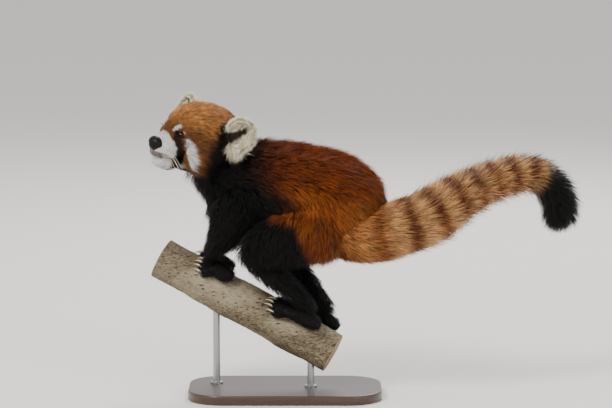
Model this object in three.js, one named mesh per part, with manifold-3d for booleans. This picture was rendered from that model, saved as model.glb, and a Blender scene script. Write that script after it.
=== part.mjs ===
// A red panda at life size, standing along a sloping length of branch on a small display stand.
// Millimetres, +Z up. The origin is the middle of the stand's underside. The animal faces -X and its
// left side faces -Y. Its body is set a little askew, so that the rump is nearer to -Y than the chest,
// and its head is turned to its left.
import * as THREE from "three";
import { mergeVertices } from "three/addons/utils/BufferGeometryUtils.js";
import Module from "manifold-3d";

const wasm = await Module();
wasm.setup();

const GAP = 0.35; // clear space between neighbouring pieces
const SEED = 20; // start of the random draw for the coat

// Stand and branch
const BASE = { long: 330, wide: 190, thick: 16, corner: 60, bevel: 3 };
const ROD_RADIUS = 6;
const RODS = { front: -118, rear: 44 };
const BRANCH = { radius: 36, slope: 27.4, turn: 11.5, uphill: 190, downhill: 150 };
const BRANCH_MIDDLE = new THREE.Vector3(-48, 9, 144); // on the branch's axis, between the feet

// How far the coat's tips stand from the skin. The core takes half of that and the locks the rest.
const COAT = { torso: 22, neck: 24, limb: 14, tail: 42 };

// Head: its middle, and how it is turned, in degrees
const HEAD_AT = new THREE.Vector3(-153, -12, 449);
const HEAD_TURN = 42; // to the animal's left
const HEAD_RAISE = 12; // nose up
const HEAD_LEAN = 15; // left ear down

const Z = new THREE.Vector3(0, 0, 1);
const vec = (x, y, z) => new THREE.Vector3(x, y, z);
const rad = THREE.MathUtils.degToRad;
const lerp = THREE.MathUtils.lerp;

// The branch's own axes: along it towards the tail, up from it, and to the animal's left.
const level = vec(Math.cos(rad(BRANCH.turn)), -Math.sin(rad(BRANCH.turn)), 0);
const bodyLeft = vec(-Math.sin(rad(BRANCH.turn)), -Math.cos(rad(BRANCH.turn)), 0);
const branchAlong = level
  .clone()
  .multiplyScalar(Math.cos(rad(BRANCH.slope)))
  .addScaledVector(Z, -Math.sin(rad(BRANCH.slope)));
const branchUp = bodyLeft.clone().cross(branchAlong).normalize().negate();
if (branchUp.z < 0) branchUp.negate();

// A point of the body: x along the part's own X, left from the body's middle plane, and height.
function inBody(x, left, z) {
  const s = (x - BRANCH_MIDDLE.x) / level.x;
  return vec(x, BRANCH_MIDDLE.y + s * level.y, z).addScaledVector(bodyLeft, left);
}
// A point off the branch: along it, round it from the top towards the left in degrees, and out from it.
function onBranch(s, round, out) {
  const way = outOfBranch(round);
  return BRANCH_MIDDLE.clone().addScaledVector(branchAlong, s).addScaledVector(way, BRANCH.radius + out);
}
function outOfBranch(round) {
  const a = rad(round);
  return branchUp.clone().multiplyScalar(Math.cos(a)).addScaledVector(bodyLeft, Math.sin(a));
}

// The head's own axes.
const head = (() => {
  const [t, r, l] = [rad(HEAD_TURN), rad(HEAD_RAISE), rad(HEAD_LEAN)];
  const front = vec(-Math.cos(t) * Math.cos(r), -Math.sin(t) * Math.cos(r), Math.sin(r));
  const flat = vec(Math.sin(t), -Math.cos(t), 0);
  const upright = front.clone().cross(flat);
  const left = flat.clone().multiplyScalar(Math.cos(l)).addScaledVector(upright, -Math.sin(l));
  return { front, left, up: front.clone().cross(left) };
})();
const headWay = (f, l, u) =>
  vec(0, 0, 0).addScaledVector(head.front, f).addScaledVector(head.left, l).addScaledVector(head.up, u);
const inHead = (f, l, u) => headWay(f, l, u).add(HEAD_AT);

// Seeded random numbers from 0 to 1, and a factor near 1.
let state = SEED;
function draw() {
  state = (state + 0x6d2b79f5) | 0;
  let t = Math.imul(state ^ (state >>> 15), 1 | state);
  t = (t + Math.imul(t ^ (t >>> 7), 61 | t)) ^ t;
  return ((t ^ (t >>> 14)) >>> 0) / 4294967296;
}
const vary = (amount) => 1 + amount * (2 * draw() - 1);
const astray = (amount) => vec(draw() - 0.5, draw() - 0.5, draw() - 0.5).multiplyScalar(amount);

// A three.js geometry as a solid that can be cut and joined, its faces moved out by grow.
function solid(geometry, grow = 0) {
  const bare = geometry.clone();
  bare.deleteAttribute("normal");
  bare.deleteAttribute("uv");
  const merged = mergeVertices(bare, 1e-3);
  if (grow) {
    merged.computeVertexNormals(); // the faces point outwards here

    const [at, normal] = [merged.attributes.position, merged.attributes.normal];
    for (let i = 0; i < at.array.length; i++) at.array[i] += normal.array[i] * grow;
  }
  return new wasm.Manifold(
    new wasm.Mesh({
      numProp: 3,
      vertProperties: merged.attributes.position.array,
      triVerts: new Uint32Array(merged.index.array),
    }),
  );
}
const join = (solids) => (solids.length ? wasm.Manifold.union(solids) : null);

// A closed body over rings of points, with one point closing each end.
function closedBody(rings, first, last) {
  const sides = rings[0].length;
  const points = [first, ...rings.flat(), last];
  const ringAt = (i, j) => 1 + i * sides + (j % sides);
  const index = [];
  for (let j = 0; j < sides; j++) {
    index.push(0, ringAt(0, j), ringAt(0, j + 1));
    index.push(points.length - 1, ringAt(rings.length - 1, j + 1), ringAt(rings.length - 1, j));
    for (let i = 0; i + 1 < rings.length; i++) {
      index.push(ringAt(i, j), ringAt(i + 1, j), ringAt(i, j + 1));
      index.push(ringAt(i, j + 1), ringAt(i + 1, j), ringAt(i + 1, j + 1));
    }
  }
  return new THREE.BufferGeometry().setFromPoints(points).setIndex(index);
}

// A smooth limb or trunk through stations { at, wide, tall }, where wide is the half width to the side
// and tall the half height. above says which way is up, or forward on an upright limb.
class Limb {
  constructor(stations, { above = Z, sides = 14, steps = 14 } = {}) {
    this.line = new THREE.CatmullRomCurve3(stations.map((s) => s.at));
    this.size = new THREE.CatmullRomCurve3(stations.map((s) => vec(s.wide, s.tall, 0)));
    Object.assign(this, { above, sides, steps, long: this.line.getLength() });
  }
  frame(u) {
    const along = this.line.getTangent(u);
    const side = along.clone().cross(this.above).normalize();
    const size = this.size.getPoint(u);
    return { at: this.line.getPoint(u), along, side, up: side.clone().cross(along), wide: size.x, tall: size.y };
  }
  point(u, angle, out = 0) {
    const f = this.frame(u);
    return f.at
      .clone()
      .addScaledVector(f.side, Math.cos(angle) * (f.wide + out))
      .addScaledVector(f.up, Math.sin(angle) * (f.tall + out));
  }
  outward(u, angle) {
    const f = this.frame(u);
    return f.side
      .clone()
      .multiplyScalar(Math.cos(angle) / f.wide)
      .addScaledVector(f.up, Math.sin(angle) / f.tall)
      .normalize();
  }
  body(grow = 0) {
    const rings = [];
    for (let i = 0; i <= this.steps; i++) {
      const u = i / this.steps;
      rings.push(Array.from({ length: this.sides }, (_, j) => this.point(u, (2 * Math.PI * j) / this.sides)));
    }
    const [a, b] = [this.frame(0), this.frame(1)];
    const first = a.at.addScaledVector(a.along, -Math.min(a.wide, a.tall) / 3);
    const last = b.at.addScaledVector(b.along, Math.min(b.wide, b.tall) / 3);
    return solid(closedBody(rings, first, last), grow);
  }
  // Whether a point lies inside, found at the nearest of some frames.
  holds(p, grow = 0) {
    let best = null;
    for (let i = 0; i <= this.steps; i++) {
      const f = this.frame(i / this.steps);
      const d = f.at.distanceToSquared(p);
      if (!best || d < best.d) best = { d, f };
    }
    const away = p.clone().sub(best.f.at);
    const [a, b, c] = [best.f.side, best.f.up, best.f.along].map((w) => away.dot(w));
    const inRing = (a / (best.f.wide + grow)) ** 2 + (b / (best.f.tall + grow)) ** 2;
    return inRing < 1 && Math.abs(c) < best.f.wide;
  }
}
const station = (at, wide, tall = wide) => ({ at, wide, tall });
const shrunk = (stations, by) => stations.map((s) => station(s.at, s.wide - by, s.tall - by));

// An egg-shaped solid with three half sizes along three directions.
function egg(at, ways, sizes, grow = 0, fine = 12) {
  const [a, b, c] = ways.map((w, i) => w.clone().normalize().multiplyScalar(sizes[i] + grow));
  const place = new THREE.Matrix4().makeBasis(a, b, c).setPosition(at);
  const ball = new THREE.SphereGeometry(1, fine, Math.round(fine * 0.7)).applyMatrix4(place);
  if (place.determinant() < 0) ball.index.array.reverse();
  return solid(ball);
}

// A flat lock along a path, whose share s runs from 0 at the root, sunk in the coat's core, to 1 at the
// point. wide and thick are its sizes where it is fullest.
const LOCK_RINGS = [
  { s: 0, wide: 0.72, thick: 1 },
  { s: 0.38, wide: 1, thick: 0.9 },
  { s: 0.74, wide: 0.68, thick: 0.6 },
];
const LOCK_SINK = 7;
const lift = (s, rise) => rise * (1 - (1 - s) ** 2) - LOCK_SINK * (1 - s) ** 2;
function lockSolid({ path, wide, thick }, grow = 0) {
  const rings = LOCK_RINGS.map(({ s, wide: w, thick: t }) => {
    const { at, out, lie } = path(s);
    const across = lie.clone().cross(out).normalize();
    const [a, b] = [(wide * w) / 2 + grow, (thick * t) / 2 + grow];
    return [0, 1, 2, 3].map((k) =>
      at
        .clone()
        .addScaledVector(across, [a, 0, -a, 0][k])
        .addScaledVector(out, [0, b, 0, -b][k]),
    );
  });
  const [root, tip] = [path(0), path(1)];
  return solid(closedBody(rings, root.at.addScaledVector(root.lie, -grow), tip.at.addScaledVector(tip.lie, grow)));
}
// A path that leaves root along lie and rises off it, and one that follows a limb's surface.
const straightPath = (root, out, lie, long, rise) => (s) => ({
  at: root.clone().addScaledVector(lie, long * s).addScaledVector(out, lift(s, rise)),
  out,
  lie,
});
const limbPath = (limb, u, angle, twist, long, rise) => (s) => {
  const v = u + (long * s) / limb.long;
  const { along } = limb.frame(Math.min(v, 1));
  const at = limb.point(Math.min(v, 1), angle + twist * s, lift(s, rise));
  at.addScaledVector(along, Math.max(v - 1, 0) * limb.long);
  return { at, out: limb.outward(Math.min(v, 1), angle + twist * s), lie: along };
};

// Rows of locks over a limb's core, each row set half a lock round from the last. arc is the stretch
// round it in degrees, from the side over the top. clear names limbs that hide the roots inside them.
function coat(limb, { from, to, rows, round, arc = [0, 360], long, wide, thick, rise, clear = [] }) {
  const locks = [];
  for (let i = 0; i < rows; i++) {
    const u = lerp(from, to, rows > 1 ? i / (rows - 1) : 0);
    for (let k = 0; k < round; k++) {
      const share = (k + (i % 2) / 2 + 0.2 * (draw() - 0.5)) / round;
      const angle = rad(lerp(arc[0], arc[1], share));
      const path = limbPath(limb, u, angle, 0.3 * (draw() - 0.5), long * vary(0.14), rise * vary(0.14));
      const lock = { path, u, wide: wide * vary(0.14), thick };
      if (!clear.some((other) => other.holds(limb.point(u, angle), -4))) locks.push(lock);
    }
  }
  return locks;
}

// The pieces, in the order in which they give way: each is cut clear of those before it.
const pieces = [];
function piece(name, colour, roughness, core, locks = []) {
  pieces.push({ name, colour, roughness, core, locks });
}

// Stand: a rounded plate and two rods that end on the underside of the branch.
function baseBody(grow = 0) {
  const [w, h, r] = [BASE.long / 2 + grow, BASE.wide / 2 + grow, BASE.corner];
  const outline = new THREE.Shape();
  outline.absarc(w - r, h - r, r, 0, Math.PI / 2);
  outline.absarc(r - w, h - r, r, Math.PI / 2, Math.PI);
  outline.absarc(r - w, r - h, r, Math.PI, 1.5 * Math.PI);
  outline.absarc(w - r, r - h, r, 1.5 * Math.PI, 2 * Math.PI);
  const plate = new THREE.ExtrudeGeometry(outline, {
    depth: BASE.thick - BASE.bevel + grow,
    bevelEnabled: true,
    bevelSize: BASE.bevel,
    bevelThickness: BASE.bevel,
    bevelOffset: -BASE.bevel,
    bevelSegments: 1,
    curveSegments: 6,
  });
  const lower = solid(plate);
  const flat = new THREE.BoxGeometry(2 * BASE.long, 2 * BASE.long, BASE.thick).translate(0, 0, -BASE.thick / 2);
  return lower.subtract(solid(flat));
}
function rodBody(x, grow = 0) {
  const top = inBody(x, 0, BRANCH_MIDDLE.z - (x - BRANCH_MIDDLE.x) * Math.tan(rad(BRANCH.slope)) * 1.02);
  const low = BASE.thick + GAP;
  const rod = new THREE.CylinderGeometry(ROD_RADIUS + grow, ROD_RADIUS + grow, top.z - low, 16);
  return solid(rod.rotateX(Math.PI / 2).translate(top.x, top.y, (top.z + low) / 2));
}

// Branch: a slightly uneven round bough with both ends sawn square.
const boughSwell = [0, 0.7, -0.6, 0.4, -0.5, 1.2, 0.2, -0.4, 0.5];
const bough = new Limb(
  boughSwell.map((swell, i) => {
    const s = lerp(-BRANCH.uphill, BRANCH.downhill, i / (boughSwell.length - 1));
    return station(BRANCH_MIDDLE.clone().addScaledVector(branchAlong, s), BRANCH.radius + swell);
  }),
  { sides: 16, steps: 8 },
);
function boughBody(grow = 0) {
  const [a, b] = [bough.frame(0), bough.frame(1)];
  return bough
    .body(grow)
    .trimByPlane(branchAlong.toArray(), a.at.dot(branchAlong) + 1 - grow)
    .trimByPlane(branchAlong.clone().negate().toArray(), -b.at.dot(branchAlong) + 1 - grow);
}

// Torso, through the tips of its coat.
const torsoStations = [
  station(inBody(-120, 0, 314), 24, 32),
  station(inBody(-110, 0, 318), 46, 62),
  station(inBody(-90, 0, 330), 62, 87),
  station(inBody(-58, 0, 342), 71, 103),
  station(inBody(-18, 0, 344), 77, 104),
  station(inBody(26, 0, 341), 83, 101),
  station(inBody(68, 0, 335), 87, 99),
  station(inBody(102, 0, 323), 86, 91),
  station(inBody(127, 0, 312), 74, 76),
  station(inBody(147, 0, 305), 50, 51),
  station(inBody(156, 0, 303), 20, 22),
];
const neckStations = [
  station(inBody(-130, 8, 415), 52, 57),
  station(inBody(-108, 4, 394), 59, 67),
  station(inBody(-82, 2, 371), 63, 76),
  station(inBody(-52, 0, 350), 66, 84),
];
const torso = new Limb(shrunk(torsoStations, COAT.torso / 2), { sides: 18, steps: 11 });
const neck = new Limb(shrunk(neckStations, COAT.neck / 2), { sides: 16, steps: 4 });

// Tail: out of the rump towards the left, then away and down at the tip.
const tailStations = [
  station(vec(84, -36, 298), 44),
  station(vec(112, -46, 290), 56),
  station(vec(160, -50, 292), 60),
  station(vec(204, -45, 301), 60),
  station(vec(246, -34, 317), 60),
  station(vec(289, -18, 342), 54),
  station(vec(331, 0, 361), 50),
  station(vec(374, 18, 374), 46),
  station(vec(416, 34, 379), 42),
  station(vec(449, 44, 362), 43),
  station(vec(466, 50, 337), 42),
  station(vec(471, 53, 314), 34),
  station(vec(472, 54, 300), 18),
];
const tailCore = tailStations.map((s) => station(s.at, Math.max(s.wide - COAT.tail / 2, 7)));
const tail = new Limb(tailCore, { sides: 10, steps: 20 });
const TAIL_CUTS = [0.3, 0.55, 0.79]; // shares of its length where it is parted
const TAIL_NAMES = ["tail_base", "tail_middle", "tail_outer", "tail_tip"];

// Skull and muzzle in the head's own frame: from the nape to the lips.
const headStations = [
  [-76, 4, 26, 24],
  [-62, 6, 50, 44],
  [-36, 6, 62, 55],
  [-6, 4, 61, 57],
  [18, -4, 50, 53],
  [31, -11, 38, 42],
  [44, -24, 29, 31],
  [57, -32, 22, 25],
  [69, -35, 18, 22],
  [77, -36, 14, 15],
].map(([f, u, wide, tall]) => station(inHead(f, 0, u), wide, tall));
const skull = new Limb(headStations, { above: head.up, sides: 16, steps: 11 });
const CHEEK = { at: [0, 34, -24], sizes: [42, 33, 40], locks: 5 };
const CHIN = { at: [46, 0, -54], sizes: [26, 17, 14] };
const THROAT = { at: [12, 0, -50], sizes: [34, 28, 18] };
const MOUTH = { at: [44, 0, -46], sizes: [38, 40, 0.9], tilt: 2, lip: 1.1, deep: 3 };
const EYE = { at: [43.5, 16, 1], radius: 6.8, lid: 1.6, way: [0.72, 0.66, 0.1], slit: [6.6, 4.3] };
const NOSE = { at: [74, 0, -25.5], sizes: [10, 14, 11.5], nostril: [83.5, 6.2, -28], hole: [4, 2.4, 2.8] };
const EAR = { sizes: [12, 28, 30], cup: [14, 16, 21], step: 8, shift: 5, fringe: 5, tuft: 2 };
const EAR_AT = { left: [-37, 70, 30], right: [-30, -77, 24] }; // the far one droops a little
const EAR_WAY = { left: [0.75, 0.62, 0.1], right: [0.95, 0.12, 0.1] }; // the far one is turned to the front
const headWays = [head.front, head.left, head.up];
const SIDES = { left: 1, right: -1 };

function mouthDisc(thick, grow = 0) {
  const tilt = new THREE.Quaternion().setFromAxisAngle(head.left, rad(-MOUTH.tilt));
  const ways = headWays.map((w) => w.clone().applyQuaternion(tilt));
  return egg(inHead(...MOUTH.at), ways, [MOUTH.sizes[0] + grow, MOUTH.sizes[1], thick], 0, 9);
}
function eyeWays(sign) {
  const [f, l, u] = EYE.way;
  const out = headWay(f, l * sign, u).normalize();
  const side = head.up.clone().cross(out).normalize();
  return [out, side, out.clone().cross(side)];
}
const eyeAt = (sign) => inHead(EYE.at[0], EYE.at[1] * sign, EYE.at[2]);

function headBody(grow = 0) {
  const parts = [skull.body(grow)];
  for (const sign of Object.values(SIDES)) {
    const [f, l, u] = CHEEK.at;
    parts.push(egg(inHead(f, l * sign, u), headWays, CHEEK.sizes, grow, 10));
    parts.push(egg(eyeAt(sign), eyeWays(sign), [1, 1.15, 1].map((k) => k * (EYE.radius + EYE.lid)), grow, 8));
  }
  for (const { at, sizes } of [CHIN, THROAT]) parts.push(egg(inHead(...at), headWays, sizes, grow, 8));
  parts.push(mouthDisc(3, MOUTH.lip).intersect(skull.body(MOUTH.lip + grow)));
  if (grow) return join(parts);
  const groove = mouthDisc(MOUTH.sizes[2]).subtract(skull.body(-MOUTH.deep));
  const cuts = [groove];
  for (const sign of Object.values(SIDES)) {
    const [out, side, up] = eyeWays(sign);
    cuts.push(egg(eyeAt(sign), [out, side, up], Array(3).fill(EYE.radius), GAP, 8));
    const opening = [EYE.radius * 1.6, ...EYE.slit];
    cuts.push(egg(eyeAt(sign).addScaledVector(out, EYE.radius * 0.8), [out, side, up], opening, 0, 6));
  }
  return join(parts).subtract(join(cuts));
}
function noseBody(grow = 0) {
  const pad = egg(inHead(...NOSE.at), headWays, NOSE.sizes, grow, 10);
  if (grow) return pad;
  const [f, l, u] = NOSE.nostril;
  return pad.subtract(join([1, -1].map((s) => egg(inHead(f, l * s, u), headWays, NOSE.hole, 0, 6))));
}
const sideOf = (sign) => (sign > 0 ? "left" : "right");
function earWays(sign) {
  const [f, l, u] = EAR_WAY[sideOf(sign)];
  const open = headWay(f, l * sign, u).normalize();
  const side = head.up.clone().cross(open).normalize();
  return [open, side, open.clone().cross(side)];
}
const earAt = (sign) => inHead(...EAR_AT[sideOf(sign)]);
function earBody(sign, grow = 0) {
  const ways = earWays(sign);
  const shell = egg(earAt(sign), ways, EAR.sizes, grow, 10);
  if (grow) return shell;
  const cupAt = earAt(sign).addScaledVector(ways[0], EAR.step).addScaledVector(ways[1], -EAR.shift * sign);
  return shell.subtract(egg(cupAt, ways, EAR.cup, 0, 10));
}

// Cheek ruff: locks round the back of each cheek, swept back and out. Ears: a fringe round the rim of
// each, and a tuft that hangs from its lower edge.
function cheekRuff(sign) {
  const [f, l, u] = CHEEK.at;
  const [long, wide, tall] = CHEEK.sizes;
  return Array.from({ length: CHEEK.locks }, (_, k) => {
    const a = rad(lerp(-118, 62, k / (CHEEK.locks - 1)));
    const root = inHead(f - long * 0.2, (l + wide * 0.94 * Math.cos(a)) * sign, u + tall * 0.94 * Math.sin(a));
    const out = headWay(0, Math.cos(a) * sign, Math.sin(a)).normalize();
    const lie = headWay(-1, 0.12 * Math.cos(a) * sign, 0.3 * Math.sin(a)).add(astray(0.2)).normalize();
    return { path: straightPath(root, out, lie, 48 * vary(0.14), 5), wide: 32 * vary(0.14), thick: 10 };
  });
}
function earLocks(sign) {
  const [open, side, up] = earWays(sign);
  const [, wide, tall] = EAR.sizes;
  const away = (a) => side.clone().multiplyScalar(Math.cos(a)).addScaledVector(up, Math.sin(a));
  const rim = (a, share) =>
    earAt(sign)
      .addScaledVector(side, wide * share * Math.cos(a))
      .addScaledVector(up, tall * share * Math.sin(a));
  const lock = (a, long, turn) => {
    const lie = away(a).add(turn).add(astray(0.2)).normalize();
    const out = open.clone().addScaledVector(lie, -open.dot(lie)).normalize();
    return { path: straightPath(rim(a, 0.8), out, lie, long, 2), wide: 18 * vary(0.14), thick: 6 };
  };
  const fringe = Array.from({ length: EAR.fringe }, (_, k) =>
    lock((2 * Math.PI * (k + 0.5)) / EAR.fringe, 15 * vary(0.14), vec(0, 0, 0)),
  );
  const tuft = Array.from({ length: EAR.tuft }, (_, k) =>
    lock(rad(lerp(-118, -62, k / (EAR.tuft - 1))), 34 * vary(0.14), vec(0, 0, -1.6)),
  );
  return [...fringe, ...tuft];
}

// Legs. Left is written out; right is the same set across the body's middle plane and moved by its step.
const mirrored = (sign) => (stations, step = 0) =>
  stations.map(([x, left, z, wide, tall]) =>
    station(inBody(x, left * sign, z).addScaledVector(branchAlong, sign < 0 ? step : 0), wide, tall),
  );
const FORE_STEP = -14; // how far the right forefoot stands ahead of the left one
const HIND_STEP = 24; // how far the right hind foot stands behind the left one
const thigh = [
  [108, 30, 300, 24, 42],
  [80, 46, 298, 34, 58],
  [36, 60, 286, 37, 55],
  [-8, 70, 272, 34, 46],
  [-38, 76, 261, 28, 36],
  [-56, 77, 256, 17, 23],
];
const shin = [
  [-46, 74, 262, 24, 28],
  [-22, 66, 232, 23, 29],
  [8, 48, 200, 21, 26],
  [34, 33, 172, 19, 22],
  [46, 28, 158, 15, 17],
];
const foreArm = [
  [-62, 36, 350, 30, 48],
  [-75, 44, 316, 30, 49],
  [-89, 46, 287, 27, 38],
  [-105, 40, 264, 22, 27],
  [-117, 32, 246, 18, 21],
  [-121, 28, 234, 15, 17],
];
const FOOT = {
  fore: { long: 54, wide: 19, tall: 13, toe: 8.5, heel: -60, round: 38 },
  hind: { long: 88, wide: 19, tall: 13, toe: 8.5, heel: 110, round: 38 },
};
const CLAW = { long: 15, thick: 4.2 };

// A foot lies along the branch, towards the front, from its heel at s to its toes.
function footPieces(kind, sign, step) {
  const foot = FOOT[kind];
  const heel = foot.heel + (sign < 0 ? step : 0);
  const middle = (share, out, across = 0) =>
    onBranch(heel - foot.long * share, (foot.round + across) * sign, out);
  const forward = branchAlong.clone().negate();
  const sole = new Limb(
    [
      station(middle(0, 11), foot.wide * 0.6, foot.tall * 0.8),
      station(middle(0.15, 12), foot.wide * 0.85, foot.tall * 1.05),
      station(middle(0.5, 12), foot.wide * 0.95, foot.tall),
      station(middle(0.82, 10), foot.wide * 1.05, foot.tall * 0.85),
      station(middle(0.95, 9), foot.wide * 0.8, foot.tall * 0.6),
    ],
    { above: outOfBranch(foot.round * sign), sides: 8, steps: 4 },
  );
  const toes = [-2, -1, 0, 1, 2].map((k) => {
    const share = 0.92 - 0.05 * k * k * 0.5;
    return { at: middle(share, foot.toe * 0.7, k * 11), out: outOfBranch((foot.round + k * 11) * sign) };
  });
  const core = (grow = 0) => {
    const parts = [sole.body(grow)];
    for (const { at, out } of toes) {
      const ways = [forward, out.clone().cross(forward), out];
      parts.push(egg(at, ways, [foot.toe * 1.35, foot.toe * 0.62, foot.toe * 0.85], grow, 5));
      const tip = at.clone().addScaledVector(forward, foot.toe + CLAW.long).addScaledVector(out, -foot.toe * 0.5);
      const root = at.clone().addScaledVector(forward, foot.toe * 0.6);
      const rings = [0, 0.55].map((s) => {
        const c = root.clone().lerp(tip, s).addScaledVector(out, CLAW.long * 0.3 * Math.sin(Math.PI * s));
        const r = (CLAW.thick * (1 - 0.35 * s)) / 2 + grow;
        const flank = forward.clone().cross(out);
        return [0, 1, 2, 3].map((k) => {
          const a = (Math.PI * k) / 2;
          return c.clone().addScaledVector(flank, r * Math.cos(a)).addScaledVector(out, r * Math.sin(a));
        });
      });
      parts.push(solid(closedBody(rings, root.clone().addScaledVector(forward, -1), tip)));
    }
    return join(parts);
  };
  return core;
}

const forward = level.clone().negate();
function legs(sign) {
  const place = mirrored(sign);
  const arm = new Limb(shrunk(place(foreArm, FORE_STEP), COAT.limb / 2), { above: forward, sides: 10, steps: 6 });
  const haunch = new Limb(shrunk(place(thigh), COAT.limb / 2).reverse(), { sides: 10, steps: 6 });
  const calf = new Limb(shrunk(place(shin, HIND_STEP), COAT.limb / 2), { sides: 10, steps: 4 });
  return { arm, haunch, calf };
}
const limbs = { left: legs(SIDES.left), right: legs(SIDES.right) };
const inTrunk = [torso, neck];
const inLegs = Object.values(limbs).flatMap((l) => [l.arm, l.haunch]);

// The coat of each piece. The hair of the back lies towards the tail, and that of the legs runs down.
const torsoLocks = coat(torso, {
  from: 0.16, to: 0.88, rows: 5, round: 6, arc: [-40, 220], long: 72, wide: 37, thick: 9, rise: 11, clear: inLegs,
});
const neckLocks = coat(neck, {
  from: 0.34, to: 0.34, rows: 1, round: 7, long: 58, wide: 32, thick: 9, rise: 10, clear: [torso, ...inLegs],
});
function legCoats(side) {
  const { arm, haunch } = limbs[side];
  return {
    fore: coat(arm, { from: 0.46, to: 0.46, rows: 1, round: 6, long: 48, wide: 20, thick: 7, rise: 6, clear: inTrunk }),
    hind: coat(haunch, { from: 0.34, to: 0.72, rows: 2, round: 5, long: 60, wide: 26, thick: 8, rise: 6, clear: inTrunk }),
  };
}
const tailLocks = coat(tail, {
  from: 0.1, to: 0.88, rows: 8, round: 7, long: 80, wide: 26, thick: 9, rise: 19, clear: [torso],
});
function tailCoat(i) {
  const [low, high] = [TAIL_CUTS[i - 1] ?? 0, TAIL_CUTS[i] ?? 1];
  return tailLocks.filter((lock) => lock.u > low && lock.u <= high);
}

// Everything is listed here, those that give way to nothing first.
piece("stand_base", 0x33241b, 0.45, baseBody);
piece("perch_branch", 0x8a7a63, 0.9, boughBody);
for (const [end, x] of Object.entries(RODS)) piece("stand_rod_" + end, 0x9a9a9a, 0.3, (grow) => rodBody(x, grow));
for (const [side, sign] of Object.entries(SIDES)) {
  piece("eye_" + side, 0x0d0806, 0.1, (grow) => egg(eyeAt(sign), eyeWays(sign), Array(3).fill(EYE.radius), grow, 8));
}
piece("nose", 0x0b0a0c, 0.35, noseBody);
piece("head", 0xa8571f, 0.85, headBody, [...cheekRuff(SIDES.left), ...cheekRuff(SIDES.right)]);
piece("torso", 0x7a3512, 0.85, (grow) => torso.body(grow), torsoLocks);
piece("neck", 0x2a1712, 0.9, (grow) => neck.body(grow), neckLocks);
for (const [side, sign] of Object.entries(SIDES)) {
  piece("ear_" + side, 0xd9cdb8, 0.9, (grow) => earBody(sign, grow), earLocks(sign));
  piece("forefoot_" + side, 0x17100e, 0.8, footPieces("fore", sign, FORE_STEP));
  piece("hindfoot_" + side, 0x17100e, 0.8, footPieces("hind", sign, HIND_STEP));
  const { arm, haunch, calf } = limbs[side];
  const { fore, hind } = legCoats(side);
  piece("foreleg_" + side, 0x17100e, 0.9, (grow) => arm.body(grow), fore);
  piece("shin_" + side, 0x17100e, 0.9, (grow) => calf.body(grow));
  piece("thigh_" + side, 0x17100e, 0.9, (grow) => haunch.body(grow), hind);
}
TAIL_NAMES.forEach((name, i) => {
  const core = (grow = 0) => {
    let part = tail.body(grow);
    for (const [u, way] of [[TAIL_CUTS[i - 1], 1], [TAIL_CUTS[i], -1]]) {
      if (u === undefined) continue;
      const f = tail.frame(u);
      const normal = f.along.clone().multiplyScalar(way);
      part = part.trimByPlane(normal.toArray(), f.at.dot(normal) + GAP / 2 - grow);
    }
    return part;
  };
  piece(name, i < 3 ? 0xb5672f : 0x17100e, 0.9, core, tailCoat(i));
});

// Cuts each core clear of the cores before it, and each node's locks clear of all other cores and of
// the locks before them, and keeps the largest closed body that this leaves.
const near = (a, b) => {
  const [p, q] = [a.boundingBox(), b.boundingBox()];
  return [0, 1, 2].every((k) => p.min[k] < q.max[k] && q.min[k] < p.max[k]);
};
function clearOf(body, others) {
  const close = others.filter((o) => near(body, o));
  return close.length ? body.subtract(join(close)) : body;
}
function largest(body) {
  return body.decompose().reduce((a, b) => (b.volume() > a.volume() ? b : a));
}
const grownCores = pieces.map((p) => p.core(GAP));
const grownLocks = pieces.map((p) => (p.locks.length ? join(p.locks.map((l) => lockSolid(l, GAP))) : null));

const redPanda = new THREE.Group();
pieces.forEach((p, i) => {
  let body = clearOf(p.core(0), grownCores.slice(0, i));
  if (p.locks.length) {
    const otherCores = grownCores.filter((_, j) => j !== i);
    const earlierLocks = grownLocks.slice(0, i).filter(Boolean);
    body = body.add(clearOf(join(p.locks.map((l) => lockSolid(l))), [...otherCores, ...earlierLocks]));
  }
  const { vertProperties, triVerts } = largest(body).getMesh();
  const geometry = new THREE.BufferGeometry()
    .setAttribute("position", new THREE.BufferAttribute(new Float32Array(vertProperties), 3))
    .setIndex(new THREE.BufferAttribute(new Uint32Array(triVerts), 1));
  const material = new THREE.MeshStandardMaterial({ color: p.colour, roughness: p.roughness, metalness: 0 });
  const mesh = new THREE.Mesh(geometry, material);
  mesh.name = p.name;
  redPanda.add(mesh);
});

export default redPanda;
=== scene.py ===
"""A red panda at life size, as a museum model on a cut length of branch over a small stand.

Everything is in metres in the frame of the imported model: +Z up, the animal's body along -X and its
left side towards -Y. One skin takes the place of the solids of the body, and a coat of solid strands,
combed along the lie of the hair, stands on it.
"""

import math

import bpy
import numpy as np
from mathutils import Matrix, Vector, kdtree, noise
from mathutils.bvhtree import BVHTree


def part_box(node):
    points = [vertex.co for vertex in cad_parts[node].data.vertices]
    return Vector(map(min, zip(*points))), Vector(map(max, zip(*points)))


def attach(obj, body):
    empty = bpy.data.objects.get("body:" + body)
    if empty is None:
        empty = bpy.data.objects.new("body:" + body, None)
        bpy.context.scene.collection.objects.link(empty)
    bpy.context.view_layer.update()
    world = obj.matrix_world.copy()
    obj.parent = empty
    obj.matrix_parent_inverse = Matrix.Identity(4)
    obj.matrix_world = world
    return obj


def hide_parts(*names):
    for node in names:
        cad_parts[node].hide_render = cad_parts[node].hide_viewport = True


bl_info = {
    "name": "Red Panda on a Branch",
    "version": (1, 0, 0),
    "blender": (4, 5, 0),
    "location": "View3D > Sidebar > Red Panda",
    "description": "Skin, coat, eyes, nose, mouth, whiskers, claws, branch and stand of a red panda",
    "category": "Add Mesh",
}

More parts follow.
